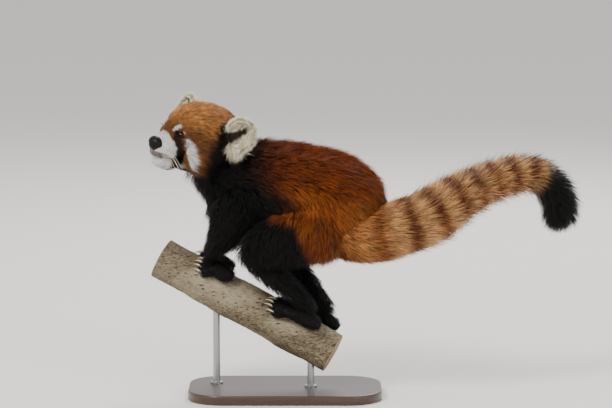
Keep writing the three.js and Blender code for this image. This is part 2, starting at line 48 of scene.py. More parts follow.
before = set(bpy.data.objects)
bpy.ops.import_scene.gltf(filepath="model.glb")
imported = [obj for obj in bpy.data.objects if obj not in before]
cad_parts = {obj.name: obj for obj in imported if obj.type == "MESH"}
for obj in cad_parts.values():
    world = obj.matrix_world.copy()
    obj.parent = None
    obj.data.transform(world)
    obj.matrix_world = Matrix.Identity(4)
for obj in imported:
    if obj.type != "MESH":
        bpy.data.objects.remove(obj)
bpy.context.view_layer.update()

MM = 0.001
BODY = "root"


# Small helpers for numbers, colours and directions


def linear(code):
    """The linear colour of an sRGB hex code such as "#a26930"."""
    srgb = [int(code[i : i + 2], 16) / 255 for i in (1, 3, 5)]
    return tuple(c / 12.92 if c <= 0.04045 else ((c + 0.055) / 1.055) ** 2.4 for c in srgb)


def unit(v):
    """Rows of v, or v itself, at length 1."""
    return v / np.maximum(np.linalg.norm(v, axis=-1, keepdims=True), 1e-12)


def smooth(low, high, x):
    """0 below low, 1 above high and an S-curve between them."""
    t = np.clip((x - low) / (high - low), 0, 1)
    return t * t * (3 - 2 * t)


def mix(a, b, share):
    """Colours a and b mixed row by row, share of b."""
    share = np.asarray(share)[..., None]
    return np.asarray(a) * (1 - share) + np.asarray(b) * share


def ripple(points, size, seed=0):
    """A smooth, repeatable unevenness from -1 to 1 over points, with humps of about size metres."""
    rng = np.random.default_rng(seed)
    total = np.zeros(len(points))
    for _ in range(5):
        way = unit(rng.normal(size=3)) * (2 * math.pi / (size * rng.uniform(0.7, 1.6)))
        total += np.sin(points @ way + rng.uniform(0, 6.3))
    return total / 3


# Driving sizes, the same as the solids have, in millimetres, and degrees for angles

BRANCH_MIDDLE = np.array([-48, 9, 144])
BRANCH_RADIUS = 36
BRANCH_SLOPE = math.radians(27.4)
BRANCH_TURN = math.radians(11.5)
BRANCH_ENDS = (-190, 150)
HEAD_AT = np.array([-153, -12, 449])
HEAD_TURN = math.radians(42)
HEAD_RAISE = math.radians(12)
HEAD_LEAN = math.radians(15)
FORE_STEP = -14
HIND_STEP = 24

UP = np.array([0.0, 0.0, 1.0])
level = np.array([math.cos(BRANCH_TURN), -math.sin(BRANCH_TURN), 0])
body_left = np.array([-math.sin(BRANCH_TURN), -math.cos(BRANCH_TURN), 0])
branch_along = level * math.cos(BRANCH_SLOPE) - UP * math.sin(BRANCH_SLOPE)
branch_up = unit(np.cross(branch_along, body_left))
branch_up = branch_up * np.sign(branch_up[2])


def in_body(x, left, z):
    """A point by its x, its distance left of the body's middle plane, and its height."""
    s = (x - BRANCH_MIDDLE[0]) / level[0]
    return np.array([x, BRANCH_MIDDLE[1] + s * level[1], z]) + body_left * left


def off_branch(round_angle):
    """The way out of the branch, at an angle from its top towards the animal's left."""
    a = math.radians(round_angle)
    return branch_up * math.cos(a) + body_left * math.sin(a)


def on_branch(along, round_angle, out):
    return BRANCH_MIDDLE + branch_along * along + off_branch(round_angle) * (BRANCH_RADIUS + out)


def head_axes():
    """The head's own front, left and up."""
    front = np.array(
        [
            -math.cos(HEAD_TURN) * math.cos(HEAD_RAISE),
            -math.sin(HEAD_TURN) * math.cos(HEAD_RAISE),
            math.sin(HEAD_RAISE),
        ]
    )
    flat = np.array([math.sin(HEAD_TURN), -math.cos(HEAD_TURN), 0])
    upright = np.cross(front, flat)
    left = flat * math.cos(HEAD_LEAN) - upright * math.sin(HEAD_LEAN)
    return np.array([front, left, np.cross(front, left)])


HEAD_AXES = head_axes()


def in_head(f, l, u):
    """A point of the head by its distances to the front, left and up, in millimetres."""
    return HEAD_AT + np.array([f, l, u]) @ HEAD_AXES


def head_places(points):
    """The head's own (front, left, up) millimetres of points in metres."""
    return (points / MM - HEAD_AT) @ HEAD_AXES.T


# Limbs: smooth bodies through stations of (point, half width, half height)


def spline(rows, count):
    """A Catmull-Rom curve through rows of numbers, at count even steps."""
    rows = np.asarray(rows, float)
    pad = np.vstack([2 * rows[0] - rows[1], rows, 2 * rows[-1] - rows[-2]])
    t = np.linspace(0, len(rows) - 1, count)
    i = np.clip(t.astype(int), 0, len(rows) - 2)
    f = (t - i)[:, None]
    a, b, c, d = pad[i], pad[i + 1], pad[i + 2], pad[i + 3]
    square, cube = 2 * a - 5 * b + 4 * c - d, 3 * b - a - 3 * c + d
    return 0.5 * (2 * b + (c - a) * f + square * f**2 + cube * f**3)


class Limb:
    """A limb of the skin, with the coat that grows on it."""

    STEPS = 72
    CAP = 0.4  # how far an end stands out, as a share of its half size
    STEP_REACH = 0.004  # how far along from a step a point still counts as beside it, in metres

    def __init__(self, stations, depth, least=7, above=UP):
        depths = np.broadcast_to(depth, len(stations))
        rows = [np.hstack([at, [w, t, d]]) * MM for (at, w, t), d in zip(stations, depths)]
        path = spline(rows, self.STEPS)
        self.at = path[:, :3]
        full = path[:, 3:5]
        self.size = np.maximum(full - path[:, 5:], np.minimum(least * MM, full))
        self.coat = (full - self.size).mean(1)
        self.along = unit(np.gradient(self.at, axis=0))
        self.side = unit(np.cross(self.along, above))
        self.up = np.cross(self.side, self.along)
        steps = np.linalg.norm(np.diff(self.at, axis=0), axis=1)
        self.reach = np.hstack([[0], np.cumsum(steps)])

    def shell(self, sides=28):
        """Points and faces of its closed surface."""
        angle = np.linspace(0, 2 * math.pi, sides, endpoint=False)
        ring = (
            self.at[:, None]
            + self.side[:, None] * (np.cos(angle)[None, :, None] * self.size[:, 0, None, None])
            + self.up[:, None] * (np.sin(angle)[None, :, None] * self.size[:, 1, None, None])
        )
        ends = [
            self.at[0] - self.along[0] * self.size[0].min() * self.CAP,
            self.at[-1] + self.along[-1] * self.size[-1].min() * self.CAP,
        ]
        points = np.vstack([ring.reshape(-1, 3), ends])
        faces = bands(self.STEPS, sides, flip=True)
        faces += fan(0, sides, len(points) - 2)
        faces += fan((self.STEPS - 1) * sides, sides, len(points) - 1, flip=True)
        return points, faces

    def near(self, points):
        """Of each point: nearest step, angle round the limb, and distance outside the limb's surface."""
        step = np.argmin((self.at**2).sum(1) - 2 * points @ self.at.T, axis=1)
        away = points - self.at[step]
        a = (away * self.side[step]).sum(1)
        b = (away * self.up[step]).sum(1)
        c = np.abs((away * self.along[step]).sum(1))
        ratio = np.sqrt((a / self.size[step, 0]) ** 2 + (b / self.size[step, 1]) ** 2)
        out = np.maximum((ratio - 1) * self.size[step].min(1), 0) + np.maximum(c - self.STEP_REACH, 0)
        return step, np.arctan2(b / self.size[step, 1], a / self.size[step, 0]), out


# The coat's depth over the skin, in millimetres, as in the solids
DEPTH = {"torso": 22, "neck": 22, "limb": 13, "foot": 3}
TAIL_DEPTH = (14, 18, 26, 36, 42)  # at the first stations; the last holds to the tip

TORSO = [
    (in_body(-120, 0, 314), 24, 32),
    (in_body(-110, 0, 318), 46, 62),
    (in_body(-90, 0, 330), 62, 87),
    (in_body(-58, 0, 342), 71, 103),
    (in_body(-18, 0, 344), 77, 104),
    (in_body(26, 0, 341), 83, 101),
    (in_body(68, 0, 335), 87, 99),
    (in_body(102, 0, 323), 86, 91),
    (in_body(127, 0, 312), 74, 76),
    (in_body(147, 0, 305), 50, 51),
    (in_body(156, 0, 303), 20, 22),
]
NECK = [
    (in_body(-130, 8, 415), 52, 57),
    (in_body(-108, 4, 394), 59, 67),
    (in_body(-82, 2, 371), 63, 76),
    (in_body(-52, 0, 350), 66, 84),
]
TAIL = [
    ((84, -36, 298), 44),
    ((112, -46, 290), 56),
    ((160, -50, 292), 60),
    ((204, -45, 301), 60),
    ((246, -34, 317), 60),
    ((289, -18, 342), 54),
    ((331, 0, 361), 50),
    ((374, 18, 374), 46),
    ((416, 34, 379), 42),
    ((449, 44, 362), 43),
    ((466, 50, 337), 42),
    ((471, 53, 314), 34),
    ((472, 54, 300), 18),
]
# (front, up, half width, half height) of the skull and muzzle, out to the coat
SKULL = [
    (-76, 4, 26, 24),
    (-62, 6, 50, 44),
    (-36, 6, 62, 55),
    (-6, 4, 61, 57),
    (18, -4, 50, 53),
    (31, -11, 38, 42),
    (44, -24, 29, 31),
    (57, -32, 22, 25),
    (66, -35, 18, 21),
    (74, -37, 13, 13),
]
CHEEK = {"at": (0, 34, -24), "sizes": (42, 33, 40), "coat": 9}
CHIN = {"at": (46, 0, -54), "sizes": (26, 17, 14), "coat": 2}
THROAT = {"at": (12, 0, -50), "sizes": (34, 28, 18), "coat": 8}
THIGH = [
    (108, 30, 300, 24, 42),
    (80, 46, 298, 34, 58),
    (36, 60, 286, 37, 55),
    (-8, 70, 272, 34, 46),
    (-38, 76, 261, 28, 36),
    (-56, 77, 256, 17, 23),
]
SHIN = [
    (-46, 74, 262, 24, 28),
    (-22, 66, 232, 23, 29),
    (8, 48, 200, 21, 26),
    (34, 33, 172, 19, 22),
    (46, 28, 158, 15, 17),
]
FOREARM = [
    (-62, 36, 350, 30, 48),
    (-75, 44, 316, 30, 49),
    (-89, 46, 287, 27, 38),
    (-105, 40, 264, 22, 27),
    (-117, 32, 246, 18, 21),
    (-121, 28, 234, 15, 17),
]
FOOT = {
    "fore": {"long": 54, "wide": 19, "tall": 13, "toe": 8.5, "heel": -60, "round": 38},
    "hind": {"long": 88, "wide": 19, "tall": 13, "toe": 8.5, "heel": 110, "round": 38},
}
CLAW = {"long": 15, "thick": 4.2}
EYE = {"at": (43.5, 16, 1), "radius": 6.8, "way": (0.72, 0.66, 0.1), "slit": (6.7, 4.8)}
NOSE = {"at": (75, 0, -26.5), "sizes": (11, 14.5, 12.5), "nostril": (84, 6.0, -30)}
NOSTRIL = {"half": (3.0, 2.3), "deep": 4.6, "comma": 1.8}
GROOVE = {"half": 1.0, "deep": 1.4}
MOUTH = {"at": (44, 0, -46), "tilt": 2}
EAR = {"deep": 12, "wide": 24, "tall": 26, "thick": 4.5, "bowl": math.radians(98)}
EAR_ROOT = {"shift": (2, -16, -8), "sizes": (9, 14, 16)}
EAR_AT = {1: (-37, 70, 30), -1: (-30, -77, 24)}
EAR_WAY = {1: (0.75, 0.62, 0.1), -1: (0.95, 0.12, 0.1)}
SIDES = {"left": 1, "right": -1}


def leg_stations(table, sign, step=0):
    shift = branch_along * (step if sign < 0 else 0)
    return [(in_body(x, left * sign, z) + shift, w, t) for x, left, z, w, t in table]


def foot_places(kind, sign):
    """Stations of the sole, and the middles and outward ways of its toes."""
    foot = FOOT[kind]
    step = FORE_STEP if kind == "fore" else HIND_STEP
    heel = foot["heel"] + (step if sign < 0 else 0)

    def place(share, out, across=0):
        return on_branch(heel - foot["long"] * share, (foot["round"] + across) * sign, out)

    wide, tall, toe = foot["wide"], foot["tall"], foot["toe"]
    sole = [
        (place(0, 11), wide * 0.6, tall * 0.8),
        (place(0.15, 12), wide * 0.85, tall * 1.05),
        (place(0.5, 12), wide * 0.95, tall),
        (place(0.82, 10), wide * 1.05, tall * 0.85),
        (place(0.95, 9), wide * 0.8, tall * 0.6),
    ]
    toes = []
    for k in range(-2, 3):
        share = 0.92 - 0.025 * k * k
        toes.append((place(share, toe * 0.7, k * 11), off_branch((foot["round"] + k * 11) * sign)))
    return sole, toes


def axes_facing(way, sign):
    """Out along one of the head's own ways, to its side, and up, each of length 1."""
    f, l, u = way
    out = unit(np.array([f, l * sign, u]) @ HEAD_AXES)
    side = unit(np.cross(HEAD_AXES[2], out))
    return out, side, np.cross(out, side)


def eye_axes(sign):
    return axes_facing(EYE["way"], sign)


def eye_middle(sign):
    f, l, u = EYE["at"]
    return in_head(f, l * sign, u) * MM


def ear_axes(sign):
    return axes_facing(EAR_WAY[sign], sign)


def ear_middle(sign):
    return in_head(*EAR_AT[sign]) * MM


# Meshes from arrays


def band(a, b, sides, flip=False):
    """Quads between the rings of points that begin at a and b."""
    faces = []
    for j in range(sides):
        k = (j + 1) % sides
        faces.append((a + j, b + j, b + k, a + k) if flip else (a + j, a + k, b + k, b + j))
    return faces


def bands(rings, sides, first=0, flip=False):
    """Quads between a number of rings of points, each and the next."""
    faces = []
    for i in range(rings - 1):
        faces += band(first + i * sides, first + (i + 1) * sides, sides, flip)
    return faces


def fan(a, sides, tip, flip=False):
    """Triangles from the ring of points that begins at a to the point tip."""
    faces = []
    for j in range(sides):
        k = (j + 1) % sides
        faces.append((a + k, a + j, tip) if flip else (a + j, a + k, tip))
    return faces


def mesh_object(name, points, faces):
    """A smooth-shaded mesh object at the origin, from points and a list or array of faces."""
    mesh = bpy.data.meshes.new(name)
    if isinstance(faces, np.ndarray):
        mesh.vertices.add(len(points))
        mesh.vertices.foreach_set("co", np.ascontiguousarray(points, np.float32).ravel())
        mesh.loops.add(faces.size)
        mesh.loops.foreach_set("vertex_index", faces.astype(np.int32).ravel())
        mesh.polygons.add(len(faces))
        mesh.polygons.foreach_set("loop_start", np.arange(0, faces.size, faces.shape[1], dtype=np.int32))
        mesh.update(calc_edges=True)
    else:
        mesh.from_pydata([tuple(p) for p in points], [], [tuple(map(int, f)) for f in faces])
    mesh.polygons.foreach_set("use_smooth", np.ones(len(mesh.polygons), bool))
    obj = bpy.data.objects.new(name, mesh)
    bpy.context.scene.collection.objects.link(obj)
    return obj


def joined(parts):
    """Points and faces of several shells as one list."""
    points, faces, base = [], [], 0
    for p, f in parts:
        points.append(np.asarray(p))
        faces += [tuple(base + i for i in face) for face in f]
        base += len(p)
    return np.vstack(points), faces


def tube(path, radii, ups, sides=8, flat=1.0, closed=False):
    """A tube along path: radii at each point, flattened along ups by flat."""
    path = np.asarray(path, float)
    along = np.roll(path, -1, 0) - np.roll(path, 1, 0) if closed else np.gradient(path, axis=0)
    along = unit(along)
    side = unit(np.cross(along, ups))
    up = np.cross(side, along)
    angle = np.linspace(0, 2 * math.pi, sides, endpoint=False)
    radii = np.asarray(radii)[:, None, None]
    ring = path[:, None] + side[:, None] * np.cos(angle)[None, :, None] * radii
    ring = ring + up[:, None] * np.sin(angle)[None, :, None] * radii * flat
    faces = bands(len(path), sides)
    points = ring.reshape(-1, 3)
    last = (len(path) - 1) * sides
    if closed:
        return points, faces + band(last, 0, sides)
    points = np.vstack([points, path[0], path[-1]])
    faces += fan(0, sides, len(points) - 2, flip=True)
    faces += fan(last, sides, len(points) - 1)
    return points, faces


def egg(at, axes, sizes, steps=20):
    """An ellipsoid of half sizes along three axes, all in metres, as points and faces."""
    rings, sides = steps, steps * 2
    points = [at + axes[2] * sizes[2]]
    for i in range(1, rings):
        t = math.pi * i / rings
        for j in range(sides):
            a = 2 * math.pi * j / sides
            round_way = axes[0] * sizes[0] * math.cos(a) + axes[1] * sizes[1] * math.sin(a)
            points.append(at + round_way * math.sin(t) + axes[2] * sizes[2] * math.cos(t))
    points.append(at - axes[2] * sizes[2])
    faces = fan(1, sides, 0)
    faces += bands(rings - 1, sides, first=1, flip=True)
    faces += fan(1 + (rings - 2) * sides, sides, len(points) - 1, flip=True)
    if np.dot(np.cross(axes[0], axes[1]), axes[2]) < 0:
        faces = [f[::-1] for f in faces]
    return np.array(points), faces


def evaluated(obj, name):
    """obj with its modifiers made real, as a new object, and obj removed."""
    graph = bpy.context.evaluated_depsgraph_get()
    mesh = bpy.data.meshes.new_from_object(obj.evaluated_get(graph), depsgraph=graph)
    mesh.name = name
    old = obj.data
    bpy.data.objects.remove(obj)
    bpy.data.meshes.remove(old)
    new = bpy.data.objects.new(name, mesh)
    bpy.context.scene.collection.objects.link(new)
    return new


def arrays(obj):
    """Points, triangles and point normals of a mesh object."""
    mesh = obj.data
    points = np.empty(len(mesh.vertices) * 3)
    mesh.vertices.foreach_get("co", points)
    normals = np.empty(len(mesh.vertices) * 3)
    mesh.vertices.foreach_get("normal", normals)
    mesh.calc_loop_triangles()
    triangles = np.empty(len(mesh.loop_triangles) * 3, int)
    mesh.loop_triangles.foreach_get("vertices", triangles)
    return points.reshape(-1, 3), triangles.reshape(-1, 3), normals.reshape(-1, 3)


def paint(obj, name, colours):
    """Writes a colour for each point of obj as an attribute that its material reads."""
    layer = obj.data.color_attributes.new(name, "FLOAT_COLOR", "POINT")
    rows = np.column_stack([colours, np.ones(len(colours))]).astype(np.float32)
    layer.data.foreach_set("color", rows.ravel())


# Materials

# Sockets of a Mix node that mixes colours, and of a Map Range node
SHARE, FIRST, SECOND, MIXED = 0, 6, 7, 2
LOW_IN, HIGH_IN, LOW_OUT, HIGH_OUT = 1, 2, 3, 4


def add(tree, kind, settings=None, links=None):
    """One node: its properties or socket values, and the sockets, or nodes, that feed its inputs."""
    node = tree.nodes.new(kind)
    for key, value in (settings or {}).items():
        if isinstance(value, str) and value.startswith("#"):
            value = (*linear(value), 1)
        if isinstance(key, int) or key in node.inputs:
            node.inputs[key].default_value = value
        else:
            setattr(node, key, value)
    for key, source in (links or {}).items():
        tree.links.new(getattr(source, "outputs", [source])[0], node.inputs[key])
    return node


def material(name):
    """A new material and its empty tree."""
    mat = bpy.data.materials.new(name)
    mat.use_nodes = True
    mat.node_tree.nodes.clear()
    return mat, mat.node_tree


def coat_tint(tree, scale, detail, darkest, brightest):
    """The coat's colour, made uneven by a grain, and the grain."""
    place = add(tree, "ShaderNodeTexCoord").outputs["Object"]
    colour = add(tree, "ShaderNodeAttribute", {"attribute_name": "coat_colour"})
    grain = add(tree, "ShaderNodeTexNoise", {"Scale": scale, "Detail": detail}, {"Vector": place})
    value = add(tree, "ShaderNodeMapRange", {LOW_OUT: darkest, HIGH_OUT: brightest}, {0: grain})
    return add(tree, "ShaderNodeHueSaturation", {}, {"Color": colour, "Value": value}), grain


def hair_material():
    """Fur: keratin, matt from the side and faintly glossy along the hair, coloured hair by hair."""
    mat, tree = material("Red panda guard hair")
    tint, _ = coat_tint(tree, 900.0, 2.0, 0.8, 1.2)
    faint = {"Roughness": 0.5, "IOR": 1.55, "Specular IOR Level": 0.22}
    shader = add(tree, "ShaderNodeBsdfPrincipled", faint, {"Base Color": tint})
    add(tree, "ShaderNodeOutputMaterial", {}, {"Surface": shader})
    return mat


def skin_material():
    """Hide under the fur: the same markings, darker, with the short flat hair as fine streaked bump."""
    mat, tree = material("Furred hide")
    # Hairs of the short coat lie about 0.5 mm apart
    tint, grain = coat_tint(tree, 1400.0, 3.0, 0.65, 1.15)
    bump = add(tree, "ShaderNodeBump", {"Strength": 0.5, "Distance": 0.0006}, {"Height": grain})
    matt = {"Roughness": 0.7, "Specular IOR Level": 0.25}
    shader = add(tree, "ShaderNodeBsdfPrincipled", matt, {"Base Color": tint, "Normal": bump})
    add(tree, "ShaderNodeOutputMaterial", {}, {"Surface": shader})
    return mat


def moist_skin_material(name, code, other, rough):
    """Bare rhinarium or lip skin: soft, damp and finely pebbled, so that it glints in small dots."""
    mat, tree = material(name)
    place = add(tree, "ShaderNodeTexCoord").outputs["Object"]
    # Pebbles of the nose pad are about 0.7 mm across
    cells = add(tree, "ShaderNodeTexVoronoi", {"Scale": 1400.0}, {"Vector": place})
    stain = add(tree, "ShaderNodeTexNoise", {"Scale": 160.0, "Detail": 3.0}, {"Vector": place})
    inks = {"data_type": "RGBA", FIRST: code, SECOND: other}
    colour = add(tree, "ShaderNodeMix", inks, {SHARE: stain}).outputs[MIXED]
    bump = add(tree, "ShaderNodeBump", {"Strength": 0.35, "Distance": 0.0005}, {"Height": cells})
    damp = {"Roughness": rough, "Specular IOR Level": 0.16, "Coat Weight": 0.05, "Coat Roughness": 0.25}
    shader = add(tree, "ShaderNodeBsdfPrincipled", damp, {"Base Color": colour, "Normal": bump})
    add(tree, "ShaderNodeOutputMaterial", {}, {"Surface": shader})
    return mat


def eye_material():
    """Polished glass eye: a black pupil in a dark brown iris under a clear glossy front."""
    mat, tree = material("Brown glass eye")
    colour = add(tree, "ShaderNodeAttribute", {"attribute_name": "iris"})
    glossy = {"Roughness": 0.18, "IOR": 1.6, "Coat Weight": 1.0, "Coat Roughness": 0.08, "Coat IOR": 1.9}
    shader = add(tree, "ShaderNodeBsdfPrincipled", glossy, {"Base Color": colour})
    add(tree, "ShaderNodeOutputMaterial", {}, {"Surface": shader})
    return mat


def horn_material():
    """Claw horn: pale, slightly waxy keratin with fine lengthwise streaks."""
    mat, tree = material("Claw keratin")
    place = add(tree, "ShaderNodeTexCoord").outputs["Object"]
    streak = add(tree, "ShaderNodeTexNoise", {"Scale": 500.0, "Detail": 2.0}, {"Vector": place})
    inks = {"data_type": "RGBA", FIRST: "#8d8069", SECOND: "#d8ccb0"}
    colour = add(tree, "ShaderNodeMix", inks, {SHARE: streak}).outputs[MIXED]
    waxy = {"Roughness": 0.35, "Subsurface Weight": 0.1, "Subsurface Scale": 0.002}
    shader = add(tree, "ShaderNodeBsdfPrincipled", waxy, {"Base Color": colour})
    add(tree, "ShaderNodeOutputMaterial", {}, {"Surface": shader})
    return mat


def whisker_material():
    """Whisker: stiff white hair, smooth and faintly glossy."""
    mat, tree = material("White whisker hair")
    stiff = {"Base Color": "#e4dfd2", "Roughness": 0.35, "Specular IOR Level": 0.5}
    shader = add(tree, "ShaderNodeBsdfPrincipled", stiff)
    add(tree, "ShaderNodeOutputMaterial", {}, {"Surface": shader})
    return mat


def bark_material():
    """Dry bark of a broadleaf tree: grey-brown ridges, darker cracks, and pale worn patches."""
    mat, tree = material("Weathered bark")
    place = add(tree, "ShaderNodeTexCoord").outputs["Object"]
    # The pattern is stretched along the branch, whose axis leans down towards the tail
    stretch = {"Rotation": (0.0, -BRANCH_SLOPE, BRANCH_TURN), "Scale": (0.35, 1.0, 1.0)}
    turn = add(tree, "ShaderNodeMapping", stretch, {"Vector": place})
    # Plates of bark are about 12 mm across, with grain of about 2 mm
    plates = add(tree, "ShaderNodeTexNoise", {"Scale": 55.0, "Detail": 6.0}, {"Vector": turn})
    grain = add(tree, "ShaderNodeTexNoise", {"Scale": 420.0, "Detail": 4.0}, {"Vector": turn})
    patch = add(tree, "ShaderNodeTexNoise", {"Scale": 16.0, "Detail": 2.0}, {"Vector": turn})
    # Lenticels: dark corky specks 2 to 4 mm long, drawn out along the branch
    cork = add(tree, "ShaderNodeTexNoise", {"Scale": 260.0, "Detail": 2.0}, {"Vector": turn})
    inks = {"data_type": "RGBA", FIRST: "#50473a", SECOND: "#91866f"}
    colour = add(tree, "ShaderNodeMix", inks, {SHARE: plates}).outputs[MIXED]
    # Then the grain, the worn patches and the lenticels: where each begins and is full, its strength and ink
    for source, low, high, most, ink, blend in (
        (grain, 0.35, 0.65, 1.0, "#a89a86", "MULTIPLY"),
        (patch, 0.45, 0.7, 0.45, "#b3a88f", "MIX"),
        (cork, 0.6, 0.68, 0.85, "#2a251d", "MIX"),
    ):
        ramp = {LOW_IN: low, HIGH_IN: high, LOW_OUT: 0.0, HIGH_OUT: most}
        share = add(tree, "ShaderNodeMapRange", ramp, {0: source})
        laid = {"data_type": "RGBA", "blend_type": blend, SECOND: ink}
        colour = add(tree, "ShaderNodeMix", laid, {SHARE: share, FIRST: colour}).outputs[MIXED]
    height = add(tree, "ShaderNodeMath", {"operation": "MULTIPLY_ADD", 1: 0.6}, {0: grain, 2: plates})
    bump = add(tree, "ShaderNodeBump", {"Strength": 0.9, "Distance": 0.0022}, {"Height": height})
    dry = {"Roughness": 0.88, "Specular IOR Level": 0.2}
    shader = add(tree, "ShaderNodeBsdfPrincipled", dry, {"Base Color": colour, "Normal": bump})
    add(tree, "ShaderNodeOutputMaterial", {}, {"Surface": shader})
    return mat


def sawn_wood_material():
    """Sawn end of the branch: pale heartwood with growth rings about 2 mm apart and fine checks."""
    mat, tree = material("Sawn end grain")
    place = add(tree, "ShaderNodeTexCoord").outputs["Object"]
    lengthwise = {
        "vector_type": "TEXTURE",
        "Location": tuple(BRANCH_MIDDLE * MM),
        "Rotation": (0.0, BRANCH_SLOPE, -BRANCH_TURN),
    }
    turn = add(tree, "ShaderNodeMapping", lengthwise, {"Vector": place})
    growth = {"wave_type": "RINGS", "rings_direction": "X", "Scale": 80.0}
    growth.update({"Distortion": 3.0, "Detail": 3.0, "Detail Scale": 0.6})
    rings = add(tree, "ShaderNodeTexWave", growth, {"Vector": turn}).outputs["Fac"]
    inks = {"data_type": "RGBA", FIRST: "#7d6342", SECOND: "#b89a6d"}
    colour = add(tree, "ShaderNodeMix", inks, {SHARE: rings}).outputs[MIXED]
    bump = add(tree, "ShaderNodeBump", {"Strength": 0.3, "Distance": 0.0005}, {"Height": rings})
    sawn = {"Roughness": 0.75}
    shader = add(tree, "ShaderNodeBsdfPrincipled", sawn, {"Base Color": colour, "Normal": bump})
    add(tree, "ShaderNodeOutputMaterial", {}, {"Surface": shader})
    return mat


def plinth_material():
    """Lacquered walnut: dark, straight grain along the plate under a satin coat."""
    mat, tree = material("Lacquered walnut")
    place = add(tree, "ShaderNodeTexCoord").outputs["Object"]
    stretch = add(tree, "ShaderNodeMapping", {"Scale": (0.12, 1.0, 1.0)}, {"Vector": place})
    # Grain lines are 1 to 3 mm apart
    grain = add(tree, "ShaderNodeTexNoise", {"Scale": 260.0, "Detail": 5.0}, {"Vector": stretch})
    inks = {"data_type": "RGBA", FIRST: "#21140d", SECOND: "#4a2f1d"}
    colour = add(tree, "ShaderNodeMix", inks, {SHARE: grain}).outputs[MIXED]
    bump = add(tree, "ShaderNodeBump", {"Strength": 0.15, "Distance": 0.0003}, {"Height": grain})
    satin = {"Roughness": 0.42, "Coat Weight": 0.4, "Coat Roughness": 0.2}
    shader = add(tree, "ShaderNodeBsdfPrincipled", satin, {"Base Color": colour, "Normal": bump})
    add(tree, "ShaderNodeOutputMaterial", {}, {"Surface": shader})
    return mat


def steel_material():
    """Brushed stainless steel: turned round the rod, so the streaks run round it."""
    mat, tree = material("Brushed stainless steel")
    place = add(tree, "ShaderNodeTexCoord").outputs["Object"]
    stretch = add(tree, "ShaderNodeMapping", {"Scale": (0.05, 0.05, 1.0)}, {"Vector": place})
    streak = add(tree, "ShaderNodeTexNoise", {"Scale": 2500.0, "Detail": 2.0}, {"Vector": stretch})
    rough = add(tree, "ShaderNodeMapRange", {LOW_OUT: 0.24, HIGH_OUT: 0.42}, {0: streak})
    metal = {"Base Color": "#a8a9ab", "Metallic": 1.0}
    shader = add(tree, "ShaderNodeBsdfPrincipled", metal, {"Roughness": rough})
    add(tree, "ShaderNodeOutputMaterial", {}, {"Surface": shader})
    return mat


# Where each kind of coat grows: the body's limbs as the skin has them


def body_limbs():
    """All limbs of the skin by name, each with its own lie, length and colours of coat."""
    limbs = {
        "torso": Limb(TORSO, DEPTH["torso"]),
        "neck": Limb(NECK, DEPTH["neck"]),
    }
    depths = [TAIL_DEPTH[min(i, len(TAIL_DEPTH) - 1)] for i in range(len(TAIL))]
    limbs["tail"] = Limb([(np.array(at), r, r) for at, r in TAIL], depths, least=8)
    depths = [2 + 8 * smooth(62, -10, f) for f, _, _, _ in SKULL]
    skull = [(in_head(f, 0, u), wide, tall) for f, u, wide, tall in SKULL]
    limbs["skull"] = Limb(skull, depths, above=HEAD_AXES[2])
    for side, sign in SIDES.items():
        limbs["thigh_" + side] = Limb(leg_stations(THIGH, sign)[::-1], DEPTH["limb"])
        limbs["thigh_" + side].along *= -1
        limbs["shin_" + side] = Limb(leg_stations(SHIN, sign, HIND_STEP), DEPTH["limb"])
        limbs["arm_" + side] = Limb(leg_stations(FOREARM, sign, FORE_STEP), DEPTH["limb"], above=-level)
        for kind in FOOT:
            sole, _ = foot_places(kind, sign)
            above = off_branch(FOOT[kind]["round"] * sign)
            limbs[f"{kind}foot_{side}"] = Limb(sole, DEPTH["foot"], least=4, above=above)
    return limbs


def ear_shell(sign):
    """One ear as a bowl with a wall: outside, rim and inside."""
    way, side, up = ear_axes(sign)
    middle = ear_middle(sign)
    rings, sides = 12, 32
    profile = []
    for i in range(rings + 1):
        t = EAR["bowl"] * i / rings
        profile.append((math.sin(t), -EAR["deep"] * math.cos(t), 0))
    for i in range(rings + 1):
        t = EAR["bowl"] * (1 - i / rings)
        profile.append((math.sin(t), -(EAR["deep"] - EAR["thick"]) * math.cos(t) + 1.5, EAR["thick"]))
    points = []
    for reach, out, inset in profile[1:-1]:
        for j in range(sides):
            a = 2 * math.pi * j / sides
            flat = side * (EAR["wide"] - inset) * math.cos(a) + up * (EAR["tall"] - inset) * math.sin(a)
            points.append(middle + (flat * reach + way * out) * MM)
    points.append(middle + way * profile[0][1] * MM)
    points.append(middle + way * profile[-1][1] * MM)
    count = len(profile) - 2
    faces = bands(count, sides)
    faces += fan(0, sides, len(points) - 2, flip=True)
    faces += fan((count - 1) * sides, sides, len(points) - 1)
    return np.array(points), faces


def remeshed(name, parts, voxel, passes):
    """One smooth closed surface round several overlapping shells."""
    obj = mesh_object(name + "_rough", *joined(parts))
    remesh = obj.modifiers.new("remesh", "REMESH")
    remesh.mode = "VOXEL"
    remesh.voxel_size = voxel
    soft = obj.modifiers.new("soft", "SMOOTH")
    soft.factor = 0.5
    soft.iterations = passes
    return evaluated(obj, name)


SUNK = 2  # depth of the opened skin behind the eye's middle, in millimetres
CLOSE, CLEAR = 0.8, 1.2  # skin closer to the eye's surface than the first goes out to the second


def sink_eyes(points):
    """Opens the skin in front of each eye, so that the eye shows in its slit."""
    for sign in SIDES.values():
        out, side, up = eye_axes(sign)
        away = (points - eye_middle(sign)) / MM
        a, b, c = away @ side, away @ up, away @ out
        open_here = ((a / EYE["slit"][0]) ** 2 + (b / EYE["slit"][1]) ** 2 < 1) & (c > 0)
        points[open_here] -= out * ((c[open_here] + SUNK) * MM)[:, None]
        close_by = np.linalg.norm(away, axis=1) < EYE["radius"] + CLOSE
        round_eye = (~open_here) & close_by & (c > -SUNK)
        shell = unit(away[round_eye]) * (EYE["radius"] + CLEAR) * MM
        points[round_eye] = eye_middle(sign) + shell
    return points


